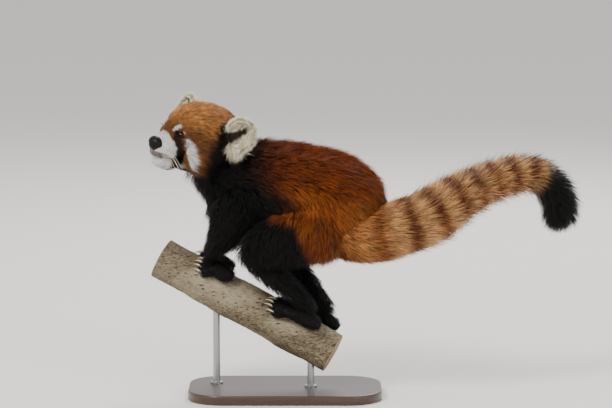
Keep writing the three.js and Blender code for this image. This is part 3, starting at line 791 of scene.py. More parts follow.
# Voxel size in metres, and how many times the surface is smoothed
BODY_MESH = (0.0034, 8)
HEAD_MESH = (0.0013, 4)


def lump(form, sign, steps=20):
    """A rounded part of the head, inside its outline by its depth of coat."""
    f, l, u = form["at"]
    sizes = (np.array(form["sizes"]) - form["coat"]) * MM
    return egg(in_head(f, l * sign, u) * MM, HEAD_AXES, sizes, steps)


def build_skin(limbs):
    """The whole animal's skin as one closed surface: finer on the head."""
    body = [limb.shell() for name, limb in limbs.items() if name != "skull"]
    for sign in SIDES.values():
        for kind in FOOT:
            _, toes = foot_places(kind, sign)
            toe = FOOT[kind]["toe"] * MM
            for at, out in toes:
                axes = [-branch_along, np.cross(out, -branch_along), out]
                body.append(egg(at * MM, axes, (toe * 1.25, toe * 0.58, toe * 0.75), 10))
    head = [limbs["skull"].shell(40)]
    for sign in SIDES.values():
        head.append(lump(CHEEK, sign))
        lid = (EYE["radius"] + 1.0) * MM
        head.append(egg(eye_middle(sign), eye_axes(sign), (lid, lid * 1.15, lid), 12))
        head.append(ear_shell(sign))
        f, l, u = np.array(EAR_AT[sign]) + np.array(EAR_ROOT["shift"]) * (1, sign, 1)
        head.append(egg(in_head(f, l, u) * MM, HEAD_AXES, np.array(EAR_ROOT["sizes"]) * MM, 12))
    head.append(lump(CHIN, 1, 14))
    head.append(lump(THROAT, 1, 14))
    body_skin = remeshed("skin_body", body, *BODY_MESH)
    head_skin = remeshed("skin_head", head, *HEAD_MESH)
    points, _, _ = arrays(head_skin)
    head_skin.data.vertices.foreach_set("co", sink_eyes(points).ravel())
    head_skin.data.update()
    join = body_skin.modifiers.new("join", "BOOLEAN")
    join.operation = "UNION"
    join.solver = "MANIFOLD"
    join.object = head_skin
    skin = evaluated(body_skin, "skin")
    bpy.data.objects.remove(head_skin)
    skin.data.polygons.foreach_set("use_smooth", np.ones(len(skin.data.polygons), bool))
    return skin


# Markings. Each takes points of the skin and gives the colour of the coat there.

INK = {
    "back": linear("#893e0a"),
    "back_dark": linear("#4a1d05"),
    "gold": linear("#9f571c"),
    "shoulder": linear("#140a06"),
    "black": linear("#070505"),
    "crown": linear("#c48647"),
    "side_face": linear("#6c4020"),
    "eye_patch": linear("#2c170d"),
    "white": linear("#f4f2ee"),
    "cream": linear("#ede4ca"),
    "cream_dark": linear("#b3a27c"),
    # Painted shade for the hollow inside the ear
    "ear_hollow_shade": linear("#2b2019"),
    "ring_pale": linear("#cf9d66"),
    "ring_dark": linear("#6a2f10"),
    "tail_root": linear("#a5642a"),
    "lip_grey": linear("#8a817b"),
}


def torso_colour(p, height):
    """Red-brown back, dark shoulders, black chest and belly, and a golden fold over the thigh."""
    x, z = p[:, 0] / MM, p[:, 2] / MM
    wave = ripple(p, 0.05, 3)
    dark = np.clip(0.3 + 0.4 * smooth(60, -50, x) + 0.15 * wave, 0, 1)
    colour = mix(INK["back"], INK["back_dark"], dark)
    fold = np.exp(-(((x - 28 + 0.7 * (z - 345)) / 42) ** 2) - ((z - 345 - 0.2 * (x - 28)) / 26) ** 2)
    hip = smooth(352, 318, z - 0.25 * (x - 60)) * smooth(-30, 20, x)
    colour = mix(colour, INK["gold"], np.clip(0.75 * fold + 0.6 * hip + 0.1 * wave, 0, 0.9))
    front = smooth(12, -62, x + 0.25 * (z - 380) + 8 * wave)
    colour = mix(colour, INK["shoulder"], front)
    rear = smooth(75, 130, x) * smooth(352, 312, z)
    colour = mix(colour, INK["tail_root"], 0.6 * rear)
    belly = smooth(0.0, -0.3, height + 0.06 * wave + 0.004 * (x - 40))
    return mix(colour, INK["black"], belly)


def neck_colour(height):
    """Dark brown nape over a black throat."""
    nape = mix(INK["shoulder"], INK["back_dark"], 0.5 * smooth(0.6, 0.98, height))
    return mix(nape, INK["black"], smooth(0.4, -0.1, height))


def thigh_colour(p):
    """Black front and lower leg, red-brown behind and above."""
    x, z = p[:, 0] / MM, p[:, 2] / MM
    wave = ripple(p, 0.03, 5) * 5
    above = z - (306 - 0.41 * np.minimum(x, 17)) + wave
    behind = x - (17 + 0.45 * (294 - z)) + wave
    red = smooth(-8, 10, np.maximum(above, behind))
    low = smooth(300, 262, z)
    return mix(INK["black"], mix(mix(INK["gold"], INK["back"], 0.55), INK["back_dark"], 0.4 * low), red)


TAIL_RINGS = [161, 209, 252, 289, 320, 352, 384, 418]  # x of the dark rings' middles, in millimetres
TAIL_BLACK = 438  # x from which the tip is black, in millimetres


def tail_colour(p, limb, step):
    """Buff and red-brown rings, redder at the root, and a black tip."""
    past = ((p - limb.at[step]) * limb.along[step]).sum(1)
    reach = limb.reach[step] + past + ripple(p, 0.02, 7) * 0.0025
    at_x = limb.at[:, 0] / MM
    turn = int(np.argmax(at_x > TAIL_BLACK))
    ring_at = np.interp(TAIL_RINGS, at_x[: turn + 1], limb.reach[: turn + 1])
    dark = sum(np.exp(-(((reach - s) / 0.0105) ** 4)) for s in ring_at)
    colour = mix(INK["ring_pale"], INK["ring_dark"], np.clip(dark, 0, 1))
    root = smooth(0.14, 0.03, reach)
    colour = mix(colour, INK["tail_root"], root * 0.85)
    black = smooth(-0.014, 0.01, reach - limb.reach[turn])
    return mix(colour, INK["black"], black)


# The face's markings, from the bottom layer up: points of (front, side, up, half width) and a colour
MUZZLE = [(76, 3, -36, 15), (68, 4, -14, 12), (60, 16, -26, 13), (52, 20, -31, 10)]
FACE = [
    (MUZZLE, "white"),
    ([(36, 32, -4, 3.5), (31, 40, -16, 8.5), (25, 48, -32, 9), (17, 46, -46, 5)], "white"),
    ([(57, 13, 5, 2.6), (50, 17, 13, 3.8)], "white"),
    ([(51, 18, 1, 5.8), (46, 23, 0, 6)], "eye_patch"),
    ([(52, 22, -6, 6), (45, 27, -17, 5.5), (38, 27, -32, 7)], "eye_patch"),
    ([(44, 26, 6, 2.2)], "cream"),
    ([(38, 24, -38, 5), (31, 22, -43, 9)], "black"),
    ([(74, 3, -53, 9), (63, 9, -55, 8), (47, 13, -56, 7)], "white"),
    ([(78, 3, -43, 5), (66, 14, -43, 4.5), (52, 19, -43, 3)], "lip_grey"),
    ([(22, 24, -52, 4)], "cream"),
]
CHEEK_WAY = unit(np.array([0.67, 0.70, 0.20]))  # the way that the side of the face looks


def stripe_share(places, stripe):
    """1 inside a stripe of rounded stretches and 0 outside it, with a soft edge of about 3 mm."""
    stops = np.array(stripe, float)
    if len(stops) == 1:
        stops = np.vstack([stops, stops])
    best = np.full(len(places), 1e9)
    for a, b in zip(stops[:-1], stops[1:]):
        run = b[:3] - a[:3]
        t = np.clip(((places - a[:3]) @ run) / max(run @ run, 1e-9), 0, 1)
        away = places - a[:3] - t[:, None] * run
        deep = away @ CHEEK_WAY
        gap = np.sqrt(np.maximum((away**2).sum(1) - 0.8 * np.minimum(deep**2, 100), 0))
        best = np.minimum(best, gap - (a[3] + (b[3] - a[3]) * t))
    return smooth(1.4, -1.4, best)


def face_colour(p):
    """Orange crown, white muzzle, brow, cheek and chin, dark stripes from the eyes, black throat."""
    f, l, u = head_places(p).T
    side = np.abs(l)
    wave = ripple(p, 0.011, 11)
    colour = mix(INK["crown"], INK["side_face"], smooth(36, 2, u + 3 * wave) * 0.85)
    ahead = 0.72 * f - 0.69 * side
    back = smooth(-36, -44, ahead + 2 * wave - 0.12 * np.maximum(-30 - u, 0))
    back = np.maximum(back * smooth(44, 34, u) * smooth(36, 44, side), smooth(-44, -58, f + 3 * wave))
    colour = mix(colour, INK["black"], back)
    low = -49 - 14 * smooth(20, 38, side)
    throat = smooth(0, -7, u - low + 2 * wave) * smooth(46, 38, f)
    colour = mix(colour, INK["black"], throat)
    colour = mix(colour, INK["white"], smooth(-44, -49, u) * smooth(40, 46, f))
    wander = np.column_stack([ripple(p, 0.008, k) for k in (31, 32, 33)])
    places = np.column_stack([f, side, u]) + 1.2 * wander
    for stripe, ink in FACE:
        colour = mix(colour, INK[ink], stripe_share(places, stripe))
    return colour


def ear_places(p, sign):
    """Distances of points along the ear's opening, side and up, in millimetres."""
    axes = np.array(ear_axes(sign))
    return ((p - ear_middle(sign)) / MM) @ axes.T


# The ear's hollow, darkened as painted shade, in its own plane: points of (away from the crown, up, half
# width)
HOLLOW_SHADE = [(7, 17, 1.5), (3, 6, 5), (-9, -6, 8), (-23, -17, 12)]


def ear_colour(p, sign):
    """Cream all over, but for a dark slit of painted shade down the hollow inside."""
    out, a, b = ear_places(p, sign).T
    flat = np.column_stack([a * sign, b])
    gap = np.full(len(p), 1e9)
    for start, end in zip(np.array(HOLLOW_SHADE)[:-1], np.array(HOLLOW_SHADE)[1:]):
        run = end[:2] - start[:2]
        t = np.clip(((flat - start[:2]) @ run) / (run @ run), 0, 1)
        width = start[2] + (end[2] - start[2]) * t
        gap = np.minimum(gap, np.linalg.norm(flat - start[:2] - t[:, None] * run, axis=1) - width)
    # Painted shade: the slit down the bowl's hollow is darkened, on its inner face only
    inside = smooth(2.5, -2.5, gap + 1.5 * ripple(p, 0.008, 43)) * smooth(-10, -7, out)
    shade = smooth(-0.4, 1.2, ripple(p, 0.012, 41))
    colour = mix(INK["cream"], INK["cream_dark"], 0.6 * shade)
    return mix(colour, INK["ear_hollow_shade"], inside)


# The coat's field over the skin: lie, length, rise and colour at each of its points


BLEND = 0.006  # distance over which one limb's coat gives way to the next, in metres


class Field:
    """What the coat is like at each point of the skin."""

    def __init__(self, points, limbs):
        self.points, self.limbs, self.names = points, limbs, list(limbs)
        count = len(points)
        near = [limbs[name].near(points) for name in self.names]
        weight = np.array([np.exp(-out / BLEND) for _, _, out in near]).T
        self.weight = weight / np.maximum(weight.sum(1, keepdims=True), 1e-9)
        self.main = np.argmax(self.weight, axis=1)
        self.lie = np.zeros((count, 3))
        self.long, self.rise, self.thick, self.dense = (np.zeros(count) for _ in range(4))
        for name, share, (step, angle, _) in zip(self.names, self.weight.T, near):
            self.add(name, share, step, angle)
        self.ears = np.column_stack([self.ear(sign) for sign in SIDES.values()])
        self.lie += 0.2 * np.column_stack([ripple(points, 0.03, s) for s in (21, 22, 23)])

    def add(self, name, share, step, angle):
        """Adds one limb's coat by its share at each point."""
        limb = self.limbs[name]
        height = np.sin(angle)
        lie = limb.along[step]
        coat = limb.coat[step] / MM
        # Of each kind of limb: the lie, then length, rise and thickness in millimetres, and the density
        if name == "torso":
            down = UP * (0.45 * (1 - np.abs(height)))[:, None]
            values = (lie - down, 36, 0.92 * coat, 0.6, 380)
        elif name == "neck":
            values = (lie - UP * 0.2, 34, 0.8 * coat, 0.6, 400)
        elif name == "tail":
            fade = smooth(0, 0.05, limb.reach[step])
            values = (lie, 20 + 0.72 * coat * (0.4 + 0.6 * fade), coat * (0.7 + 0.26 * fade), 0.95, 850)
        elif name == "skull":
            f, l, u = head_places(self.points).T
            side = np.abs(l)
            ruff = smooth(30, 52, side) * smooth(24, -16, u) * smooth(38, 10, f)
            short = smooth(34, 62, f)
            sweep = HEAD_AXES[1] * (l / 75)[:, None] - HEAD_AXES[2] * (0.35 * ruff)[:, None]
            long, rise = 15 + 17 * ruff - 10.5 * short, 0.85 * coat + 5 * ruff
            values = (-HEAD_AXES[0] + sweep, long, rise, 0.5, 800 + 900 * short)
        elif "foot" in name:
            values = (-branch_along + 0 * lie, 9, 3.4, 0.5, 420)
        elif "thigh" in name:
            values = (lie * 0.5 - UP * 0.6 + level * 0.35, 27, 0.85 * coat, 0.6, 340)
        else:
            values = (lie, 26, 0.95 * coat, 0.65, 420)
        lies, long, rise, thick, dense = values
        self.lie += unit(lies) * share[:, None]
        self.long += share * long * MM
        self.rise += share * rise * MM
        self.thick += share * thick * MM
        self.dense += share * dense

    def ear(self, sign):
        """Lays the ear's coat over the skull's, longest at the rim and hanging low, and gives its share."""
        out, a, b = ear_places(self.points, sign).T
        ring = np.hypot(a / EAR["wide"], b / EAR["tall"])
        here = smooth(1.3, 1.15, ring) * smooth(18, 12, np.abs(out + 3))
        here *= smooth(40, 50, head_places(self.points)[:, 1] * sign)
        way, side, up = ear_axes(sign)
        radial = unit(np.column_stack([a, b])) @ np.array([side, up])
        rim = smooth(0.6, 0.9, ring)
        # The tuft hangs from the lower rim
        low = smooth(-9, -17, b) * smooth(13, 3, a * sign) * smooth(-20, -11, a * sign) * rim
        lie = radial * (1 - 0.6 * low)[:, None] - way * 0.1 - UP * (1.8 * low)[:, None]
        self.lie = self.lie * (1 - here)[:, None] + lie * here[:, None]
        self.long += here * ((8 + 3 * rim + 20 * low) * MM - self.long)
        self.rise += here * ((2.2 + 1.4 * rim) * MM - self.rise)
        self.thick += here * (0.5 * MM - self.thick)
        self.dense += here * (1500 - self.dense)
        return here

    def colour(self, points, weight, ears):
        """The coat's colour at points in it, from the shares of limbs and ears at their roots."""
        colour = np.zeros((len(points), 3))
        total = np.zeros(len(points))
        for name, share in zip(self.names, weight.T):
            mine = np.nonzero(share > 0.03)[0]
            if len(mine):
                step, angle, _ = self.limbs[name].near(points[mine])
                tone = limb_colour(name, points[mine], self.limbs[name], step, np.sin(angle))
                colour[mine] += share[mine, None] * tone
                total[mine] += share[mine]
        colour /= np.maximum(total, 1e-6)[:, None]
        for sign, share in zip(SIDES.values(), ears.T):
            mine = np.nonzero(share > 0.01)[0]
            colour[mine] = mix(colour[mine], ear_colour(points[mine], sign), share[mine])
        return colour


def limb_colour(name, p, limb, step, height):
    """The colour of one limb's coat at points p; height is -1 below the limb and 1 above it."""
    if name == "torso":
        return torso_colour(p, height)
    if name == "neck":
        return neck_colour(height)
    if name == "tail":
        return tail_colour(p, limb, step)
    if name == "skull":
        return face_colour(p)
    if "thigh" in name:
        return thigh_colour(p)
    return np.tile(INK["black"], (len(p), 1))


CLUMP = 7  # strands to a clump
STRAND_POINTS = 7  # points of one strand
# Painted shade along each strand: the root is darkened to stand in for the shade between the hairs and
# clumps, and the tip is brightened
STRAND_PAINTED_SHADE = (0.45, 0.9, 1.15)  # brightness at a strand's root, middle and tip
# How unlike each other the strands are: ranges of length, rise and thickness, and spreads of brightness
LENGTHS, RISES, WIDTHS = (0.75, 1.06), (0.55, 1.15), (0.7, 1.15)
STRAND_SHADE, CLUMP_SHADE, PATCH_SHADE = 0.15, 0.23, 0.12
# The share of strands that are longer, and of those that are darker, and by how much
LONGER, LONGER_BY, DARKER, DARKER_BY = 0.05, 1.2, 0.12, 0.5


def coat_roots(skin, field, total, seed):
    """Seeded roots over the skin, as many on each face as its coat is dense. Gives faces and shares."""
    points, triangles, _ = arrays(skin)
    a, b, c = (points[triangles[:, i]] for i in range(3))
    area = np.linalg.norm(np.cross(b - a, c - a), axis=1) / 2
    weight = area * field.dense[triangles].mean(1)
    rng = np.random.default_rng(seed)
    face = rng.choice(len(triangles), total, p=weight / weight.sum())
    r = np.sqrt(rng.random(total))
    s = rng.random(total)
    shares = np.column_stack([1 - r, r * (1 - s), r * s])
    return triangles[face], shares


def clumped(root, tip, size, pull):
    """Tips drawn towards the middle of the nearest of a set of clumps, one clump to size strands."""
    heads = np.arange(0, len(root), size)
    tree = kdtree.KDTree(len(heads))
    for i, k in enumerate(heads):
        tree.insert(root[k], i)
    tree.balance()
    clump = np.array([tree.find(p)[1] for p in root])
    head = heads[clump]
    aim = tip[head] + (root - root[head]) * 0.25
    return tip + (aim - tip) * pull[:, None], clump


def strands(root, normal, lie, long, rise, thick, rng):
    """Solid three-sided strands: a root ring, a middle ring and a point. Gives points, faces and clumps."""
    count = len(root)
    flow = unit(lie - normal * (lie * normal).sum(1)[:, None])
    across = np.cross(normal, flow)
    flow = unit(flow + across * rng.normal(0, 0.13, (count, 1)))
    across = np.cross(normal, flow)
    run = np.sqrt(np.maximum(long**2 - rise**2, (0.3 * long) ** 2))[:, None]
    lift = rise[:, None]
    tip = root + flow * run + normal * lift - UP * (0.06 * long)[:, None]
    tip, clump = clumped(root, tip, CLUMP, rng.uniform(0.1, 0.55, count))
    foot = root - normal * np.minimum(thick * 1.5, 0.0012)[:, None]
    middle = root + (tip - root) * 0.5 + normal * lift * 0.2
    rings = []
    for at, size in ((foot, 1.0), (middle, 0.85)):
        for k in range(3):
            turn = 2 * math.pi * k / 3
            way = across * math.cos(turn) + normal * math.sin(turn) * 0.7
            rings.append(at + way * (thick * size * 0.7)[:, None])
    points = np.stack(rings + [tip], axis=1)
    faces = []
    for k in range(3):
        n = (k + 1) % 3
        faces += [(k, n, 3 + n), (k, 3 + n, 3 + k), (3 + k, 3 + n, 6)]
    faces.append((2, 1, 0))
    return points, np.array(faces), clump


def unwrap(field, main, root):
    """The root's place on an unwrap of the skin: each limb has its own tile, along it by round it."""
    uv = np.zeros((len(root), 2))
    columns = 4
    rows = math.ceil(len(field.names) / columns)
    for i, name in enumerate(field.names):
        mine = np.nonzero(main == i)[0]
        if not len(mine):
            continue
        limb = field.limbs[name]
        step, angle, _ = limb.near(root[mine])
        u = (i % columns + 0.04 + 0.92 * step / limb.STEPS) / columns
        v = (i // columns + 0.04 + 0.92 * (angle / (2 * math.pi) + 0.5)) / rows
        uv[mine] = np.column_stack([u, v])
    return uv


PATCH = 0.003  # width of a tuft's patch on the map
PATCH_SHAPE = np.array([[0, 0], [0.5, 0], [1, 0], [0, 0.6], [0.5, 0.6], [1, 0.6], [0.5, 1]]) - 0.5


def coat_piece(name, points, faces, colours, uv, mat):
    obj = mesh_object(name, points, faces)
    paint(obj, "coat_colour", colours)
    layer = obj.data.uv_layers.new(name="OFBake")
    corners = (uv[:, None] + PATCH_SHAPE[None] * PATCH).reshape(-1, 2)[faces.ravel()]
    layer.data.foreach_set("uv", corners.astype(np.float32).ravel())
    obj.data.materials.append(mat)
    return obj


REGIONS = {
    "coat_head": ("skull",),
    "coat_neck": ("neck",),
    "coat_back": ("torso",),
    "coat_tail": ("tail",),
    "coat_legs": ("thigh", "shin", "arm"),
    "coat_feet": ("forefoot", "hindfoot"),
}
FACE_LIMIT = 190000  # triangles in one piece of the coat


def build_coat(skin, field, settings):
    """The whole coat in pieces, region by region."""
    corner_ids, shares = coat_roots(skin, field, settings.strands, settings.seed)
    _, _, normals = arrays(skin)

    def at_root(values):
        picked = values[corner_ids]
        return (picked * (shares[..., None] if picked.ndim == 3 else shares)).sum(1)

    rng = np.random.default_rng(settings.seed + 1)
    root = at_root(field.points)
    count = len(root)
    grow = rng.uniform(*LENGTHS, count)
    grow[rng.random(count) < LONGER] *= LONGER_BY
    points, pattern, clump = strands(
        root,
        unit(at_root(normals)),
        at_root(field.lie),
        at_root(field.long) * grow,
        at_root(field.rise) * grow * rng.uniform(*RISES, count),
        at_root(field.thick) * rng.uniform(*WIDTHS, count),
        rng,
    )
    weight, ears = at_root(field.weight), at_root(field.ears)
    shade = rng.normal(1, STRAND_SHADE, count)
    shade[rng.random(count) < DARKER] *= DARKER_BY
    patches = 1 + PATCH_SHADE * ripple(root, 0.02, 51)
    shade *= rng.normal(1, CLUMP_SHADE, clump.max() + 1)[clump] * patches
    calm = smooth(900, 1500, at_root(field.dense))
    shade += (1 - shade) * 0.6 * calm
    levels = [points[:, 0:3].mean(1), points[:, 3:6].mean(1), points[:, 6]]
    # Each strand's colour is darkened towards its root, as painted shade between the hairs
    root_tone, middle_tone, tip_tone = (
        np.clip(field.colour(at, weight, ears) * shade[:, None] * fade, 0, 1)
        for at, fade in zip(levels, STRAND_PAINTED_SHADE)
    )
    colours = np.stack([root_tone] * 3 + [middle_tone] * 3 + [tip_tone], axis=1)
    main = field.main[corner_ids[np.arange(count), np.argmax(shares, axis=1)]]
    uv = unwrap(field, main, root)
    names = np.array(field.names)[main]
    mat = hair_material()
    pieces = []
    for region, limbs in REGIONS.items():
        mine = np.nonzero([n.startswith(limbs) for n in names])[0]
        parts = max(1, math.ceil(len(mine) * len(pattern) / FACE_LIMIT))
        for i, chosen in enumerate(np.array_split(mine, parts)):
            index = np.arange(len(chosen))[:, None, None] * STRAND_POINTS + pattern[None]
            name = region if parts == 1 else f"{region}_{i + 1}"
            flat, tones = points[chosen].reshape(-1, 3), colours[chosen].reshape(-1, 3)
            pieces.append(coat_piece(name, flat, index.reshape(-1, 3), tones, uv[chosen], mat))
    return pieces


# Settings that a user would change


class CoatSettings(bpy.types.PropertyGroup):
    """Sizes of the coat."""

    strands: bpy.props.IntProperty(
        name="Strands",
        description="How many strands of hair the coat has in all",
        default=145000,
        min=1000,
        max=150000,
    )
    seed: bpy.props.IntProperty(name="Seed", description="Start of the coat's random draw", default=4, min=0)


class BranchSettings(bpy.types.PropertyGroup):
    """Sizes of the branch and its bark."""

    ridge: bpy.props.FloatProperty(
        name="Bark ridge",
        description="How far the bark's ridges and hollows stand from its mean surface",
        default=1.6 * MM,
        unit="LENGTH",
    )


class StageSettings(bpy.types.PropertyGroup):
    """Floor, light and camera."""

    distance: bpy.props.FloatProperty(
        name="Camera distance",
        description="From the camera to the middle of the picture",
        default=4.5,
        unit="LENGTH",
    )
    floor: bpy.props.FloatProperty(
        name="Floor radius",
        description="Half width of the pale floor",
        default=40.0,
        unit="LENGTH",
    )
    floor_colour: bpy.props.FloatVectorProperty(
        name="Floor colour",
        description="Colour of the floor's matt paint",
        default=linear("#e6e4e0"),
        size=3,
        min=0,
        max=1,
        subtype="COLOR",
    )


# Operators, one for each piece or group of like pieces

state = {}


class REDPANDA_OT_skin(bpy.types.Operator):
    """Make the animal's skin in one piece, with its markings"""

    bl_idname = "redpanda.skin"
    bl_label = "Skin"

    def execute(self, context):
        limbs = body_limbs()
        skin = build_skin(limbs)
        if len(skin.data.polygons) < 1000:
            raise RuntimeError("the skin came out empty")
        points, _, _ = arrays(skin)
        field = Field(points, limbs)
        paint(skin, "coat_colour", np.clip(field.colour(points, field.weight, field.ears) * 0.7, 0, 1))
        skin.data.materials.clear()
        skin.data.materials.append(skin_material())
        state["skin"], state["field"] = skin, field
        nodes = [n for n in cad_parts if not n.startswith(("stand_", "perch_", "eye_", "nose"))]
        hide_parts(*nodes)
        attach(skin, BODY)
        return {"FINISHED"}


class REDPANDA_OT_coat(bpy.types.Operator):
    """Grow the coat on the skin, in pieces for head, neck, back, tail, legs and feet"""

    bl_idname = "redpanda.coat"
    bl_label = "Coat"

    def execute(self, context):
        for piece in build_coat(state["skin"], state["field"], context.scene.redpanda_coat):
            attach(piece, BODY)
        return {"FINISHED"}


# Angles from the eye's axis, in radians, over which the pupil ends and the iris darkens
PUPIL_EDGE = (0.34, 0.26)
IRIS_EDGE = (0.5, 0.75)
IRIS_INK = {"middle": linear("#3f2413"), "edge": linear("#120a06"), "pupil": (0.003, 0.002, 0.002)}
LID = {"thick": 1.15, "flat": 0.8, "out": 0.7}


class REDPANDA_OT_eyes(bpy.types.Operator):
    """Make both eyes and their lids"""

    bl_idname = "redpanda.eyes"
    bl_label = "Eyes and lids"

    def execute(self, context):
        glass = eye_material()
        rim = moist_skin_material("Eyelid skin", "#0c0908", "#1d1512", 0.4)
        for side, sign in SIDES.items():
            out, across, up = eye_axes(sign)
            middle = eye_middle(sign)
            radius = EYE["radius"] * MM
            points, faces = egg(middle, (out, across, up), (radius, radius, radius), 28)
            turn = np.arccos(np.clip(unit(points - middle) @ out, -1, 1))
            iris = mix(IRIS_INK["middle"], IRIS_INK["edge"], smooth(*IRIS_EDGE, turn))
            iris = mix(iris, IRIS_INK["pupil"], smooth(*PUPIL_EDGE, turn))
            eye = mesh_object("glass_eye_" + side, points, faces)
            paint(eye, "iris", iris)
            eye.data.materials.append(glass)
            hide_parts("eye_" + side)
            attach(eye, BODY)
            loop = []
            for a in np.linspace(0, 2 * math.pi, 40, endpoint=False):
                x = EYE["slit"][0] * math.cos(a)
                # The slit narrows to its corners, and its outer corner is the higher
                narrow = EYE["slit"][1] * math.sin(a) * (1 - 0.25 * abs(math.cos(a)))
                y = narrow + 0.35 * math.cos(a) * sign
                flat = across * x + up * y
                deep = math.sqrt(max((EYE["radius"] + LID["out"]) ** 2 - x * x - y * y, 1))
                loop.append(middle + (flat + out * deep) * MM)
            loop = np.array(loop)
            thick = np.full(len(loop), LID["thick"] * MM)
            lid = tube(loop, thick, unit(loop - middle), 10, LID["flat"], True)
            lids = mesh_object("eyelids_" + side, *lid)
            lids.data.materials.append(rim)
            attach(lids, BODY)
        return {"FINISHED"}


class REDPANDA_OT_nose(bpy.types.Operator):
    """Make the nose pad with its nostrils"""

    bl_idname = "redpanda.nose"
    bl_label = "Nose"

    def execute(self, context):
        sizes = np.array(NOSE["sizes"])
        points, faces = egg(in_head(*NOSE["at"]) * MM, HEAD_AXES, sizes * MM, 36)
        f, l, u = (head_places(points) - np.array(NOSE["at"])).T
        l = l * (1 - 0.3 * smooth(2, -11, u))
        f = f + 1.0 * smooth(-2, 8, u)
        _, nl, nu = np.array(NOSE["nostril"]) - np.array(NOSE["at"])
        for sign in (1, -1):
            comma = NOSTRIL["comma"] * sign * smooth(0, -4, u)
            a, b = (l - nl * sign - comma) / NOSTRIL["half"][0], (u - nu) / NOSTRIL["half"][1]
            f = f - NOSTRIL["deep"] * smooth(1.15, 0.2, np.sqrt(a**2 + b**2)) * (f > 0)
        f = f - GROOVE["deep"] * np.exp(-((l / GROOVE["half"]) ** 2)) * (f > 0) * smooth(5, -2, u)
        placed = np.column_stack([f, l, u]) + np.array(NOSE["at"])
        nose = mesh_object("nose_pad", (HEAD_AT + placed @ HEAD_AXES) * MM, faces)
        nose.data.materials.append(moist_skin_material("Rhinarium skin", "#040405", "#090809", 0.38))
        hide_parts("nose")
        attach(nose, BODY)
        return {"FINISHED"}


def mouth_ring(drop, inset, turns):
    """Points where the mouth's plane, lowered by drop, meets the skin, over turns round the muzzle."""
    points, triangles, _ = arrays(state["skin"])
    tree = BVHTree.FromPolygons([Vector(p) for p in points], [tuple(map(int, t)) for t in triangles])
    front, left, up = HEAD_AXES
    tilt = math.radians(MOUTH["tilt"])
    ahead = front * math.cos(tilt) + up * math.sin(tilt)
    f, l, u = MOUTH["at"]
    middle = in_head(f, l, u - drop) * MM
    found = []
    for turn in turns:
        way = ahead * math.cos(turn) + left * math.sin(turn)
        start = middle + way * 0.06
        hit = tree.ray_cast(Vector(start), Vector(-way), 0.06)
        if hit[0] is not None:
            found.append(np.array(hit[0]) - way * inset * MM)
    return np.array(found), np.cross(ahead, left)


# How far each line of the mouth lies under its middle and inside the skin, and its radius, in millimetres
LIPS = {
    "lip_upper": (-1.3, 0.7, 1.5),
    "lip_lower": (1.3, 0.9, 1.4),
    "mouth_line": (0.0, 0.3, 0.6),
}


class REDPANDA_OT_mouth(bpy.types.Operator):
    """Make the lips and the line of the nearly closed mouth"""

    bl_idname = "redpanda.mouth"
    bl_label = "Mouth"

    def execute(self, context):
        turns = np.radians(np.linspace(-80, 80, 45))
        lip = moist_skin_material("Lip skin", "#5d5450", "#3b3230", 0.45)
        dark = moist_skin_material("Mouth line", "#0b0808", "#161010", 0.5)
        for name, (drop, inset, size) in LIPS.items():
            path, plane = mouth_ring(drop, inset, turns)
            taper = np.sin(np.linspace(0.12, math.pi - 0.12, len(path))) ** 0.5
            obj = mesh_object(name, *tube(path, size * MM * taper, np.tile(plane, (len(path), 1)), 10))
            obj.data.materials.append(dark if name == "mouth_line" else lip)
            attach(obj, BODY)
        return {"FINISHED"}


WHISKERS = {"long": 62, "rows": 3, "columns": 3, "thick": 0.32, "steps": 6}


def whisker_tree():
    """A Geometry Nodes tree that makes a tapered hair of every line of a mesh."""
    tree = bpy.data.node_groups.new("Tapered hairs", "GeometryNodeTree")
    tree.interface.new_socket("Geometry", in_out="INPUT", socket_type="NodeSocketGeometry")
    tree.interface.new_socket("Thickness", in_out="INPUT", socket_type="NodeSocketFloat")
    tree.interface.new_socket("Material", in_out="INPUT", socket_type="NodeSocketMaterial")
    tree.interface.new_socket("Geometry", in_out="OUTPUT", socket_type="NodeSocketGeometry")
    source = add(tree, "NodeGroupInput")
    curve = add(tree, "GeometryNodeMeshToCurve", {}, {"Mesh": source.outputs["Geometry"]})
    share = add(tree, "GeometryNodeSplineParameter").outputs["Factor"]
    ends = {LOW_IN: 0.0, HIGH_IN: 1.0, LOW_OUT: 1.0, HIGH_OUT: 0.12}
    taper = add(tree, "ShaderNodeMapRange", ends, {0: share})
    thick = source.outputs["Thickness"]
    section = add(tree, "GeometryNodeCurvePrimitiveCircle", {"Resolution": 5}, {"Radius": thick})
    parts = {"Curve": curve, "Profile Curve": section.outputs["Curve"], "Scale": taper}
    hair = add(tree, "GeometryNodeCurveToMesh", {"Fill Caps": True}, parts)
    real = add(tree, "GeometryNodeRealizeInstances", {}, {"Geometry": hair})
    worn = {"Geometry": real, "Material": source.outputs["Material"]}
    dress = add(tree, "GeometryNodeSetMaterial", {}, worn)
    add(tree, "NodeGroupOutput", {}, {"Geometry": dress})
    return tree


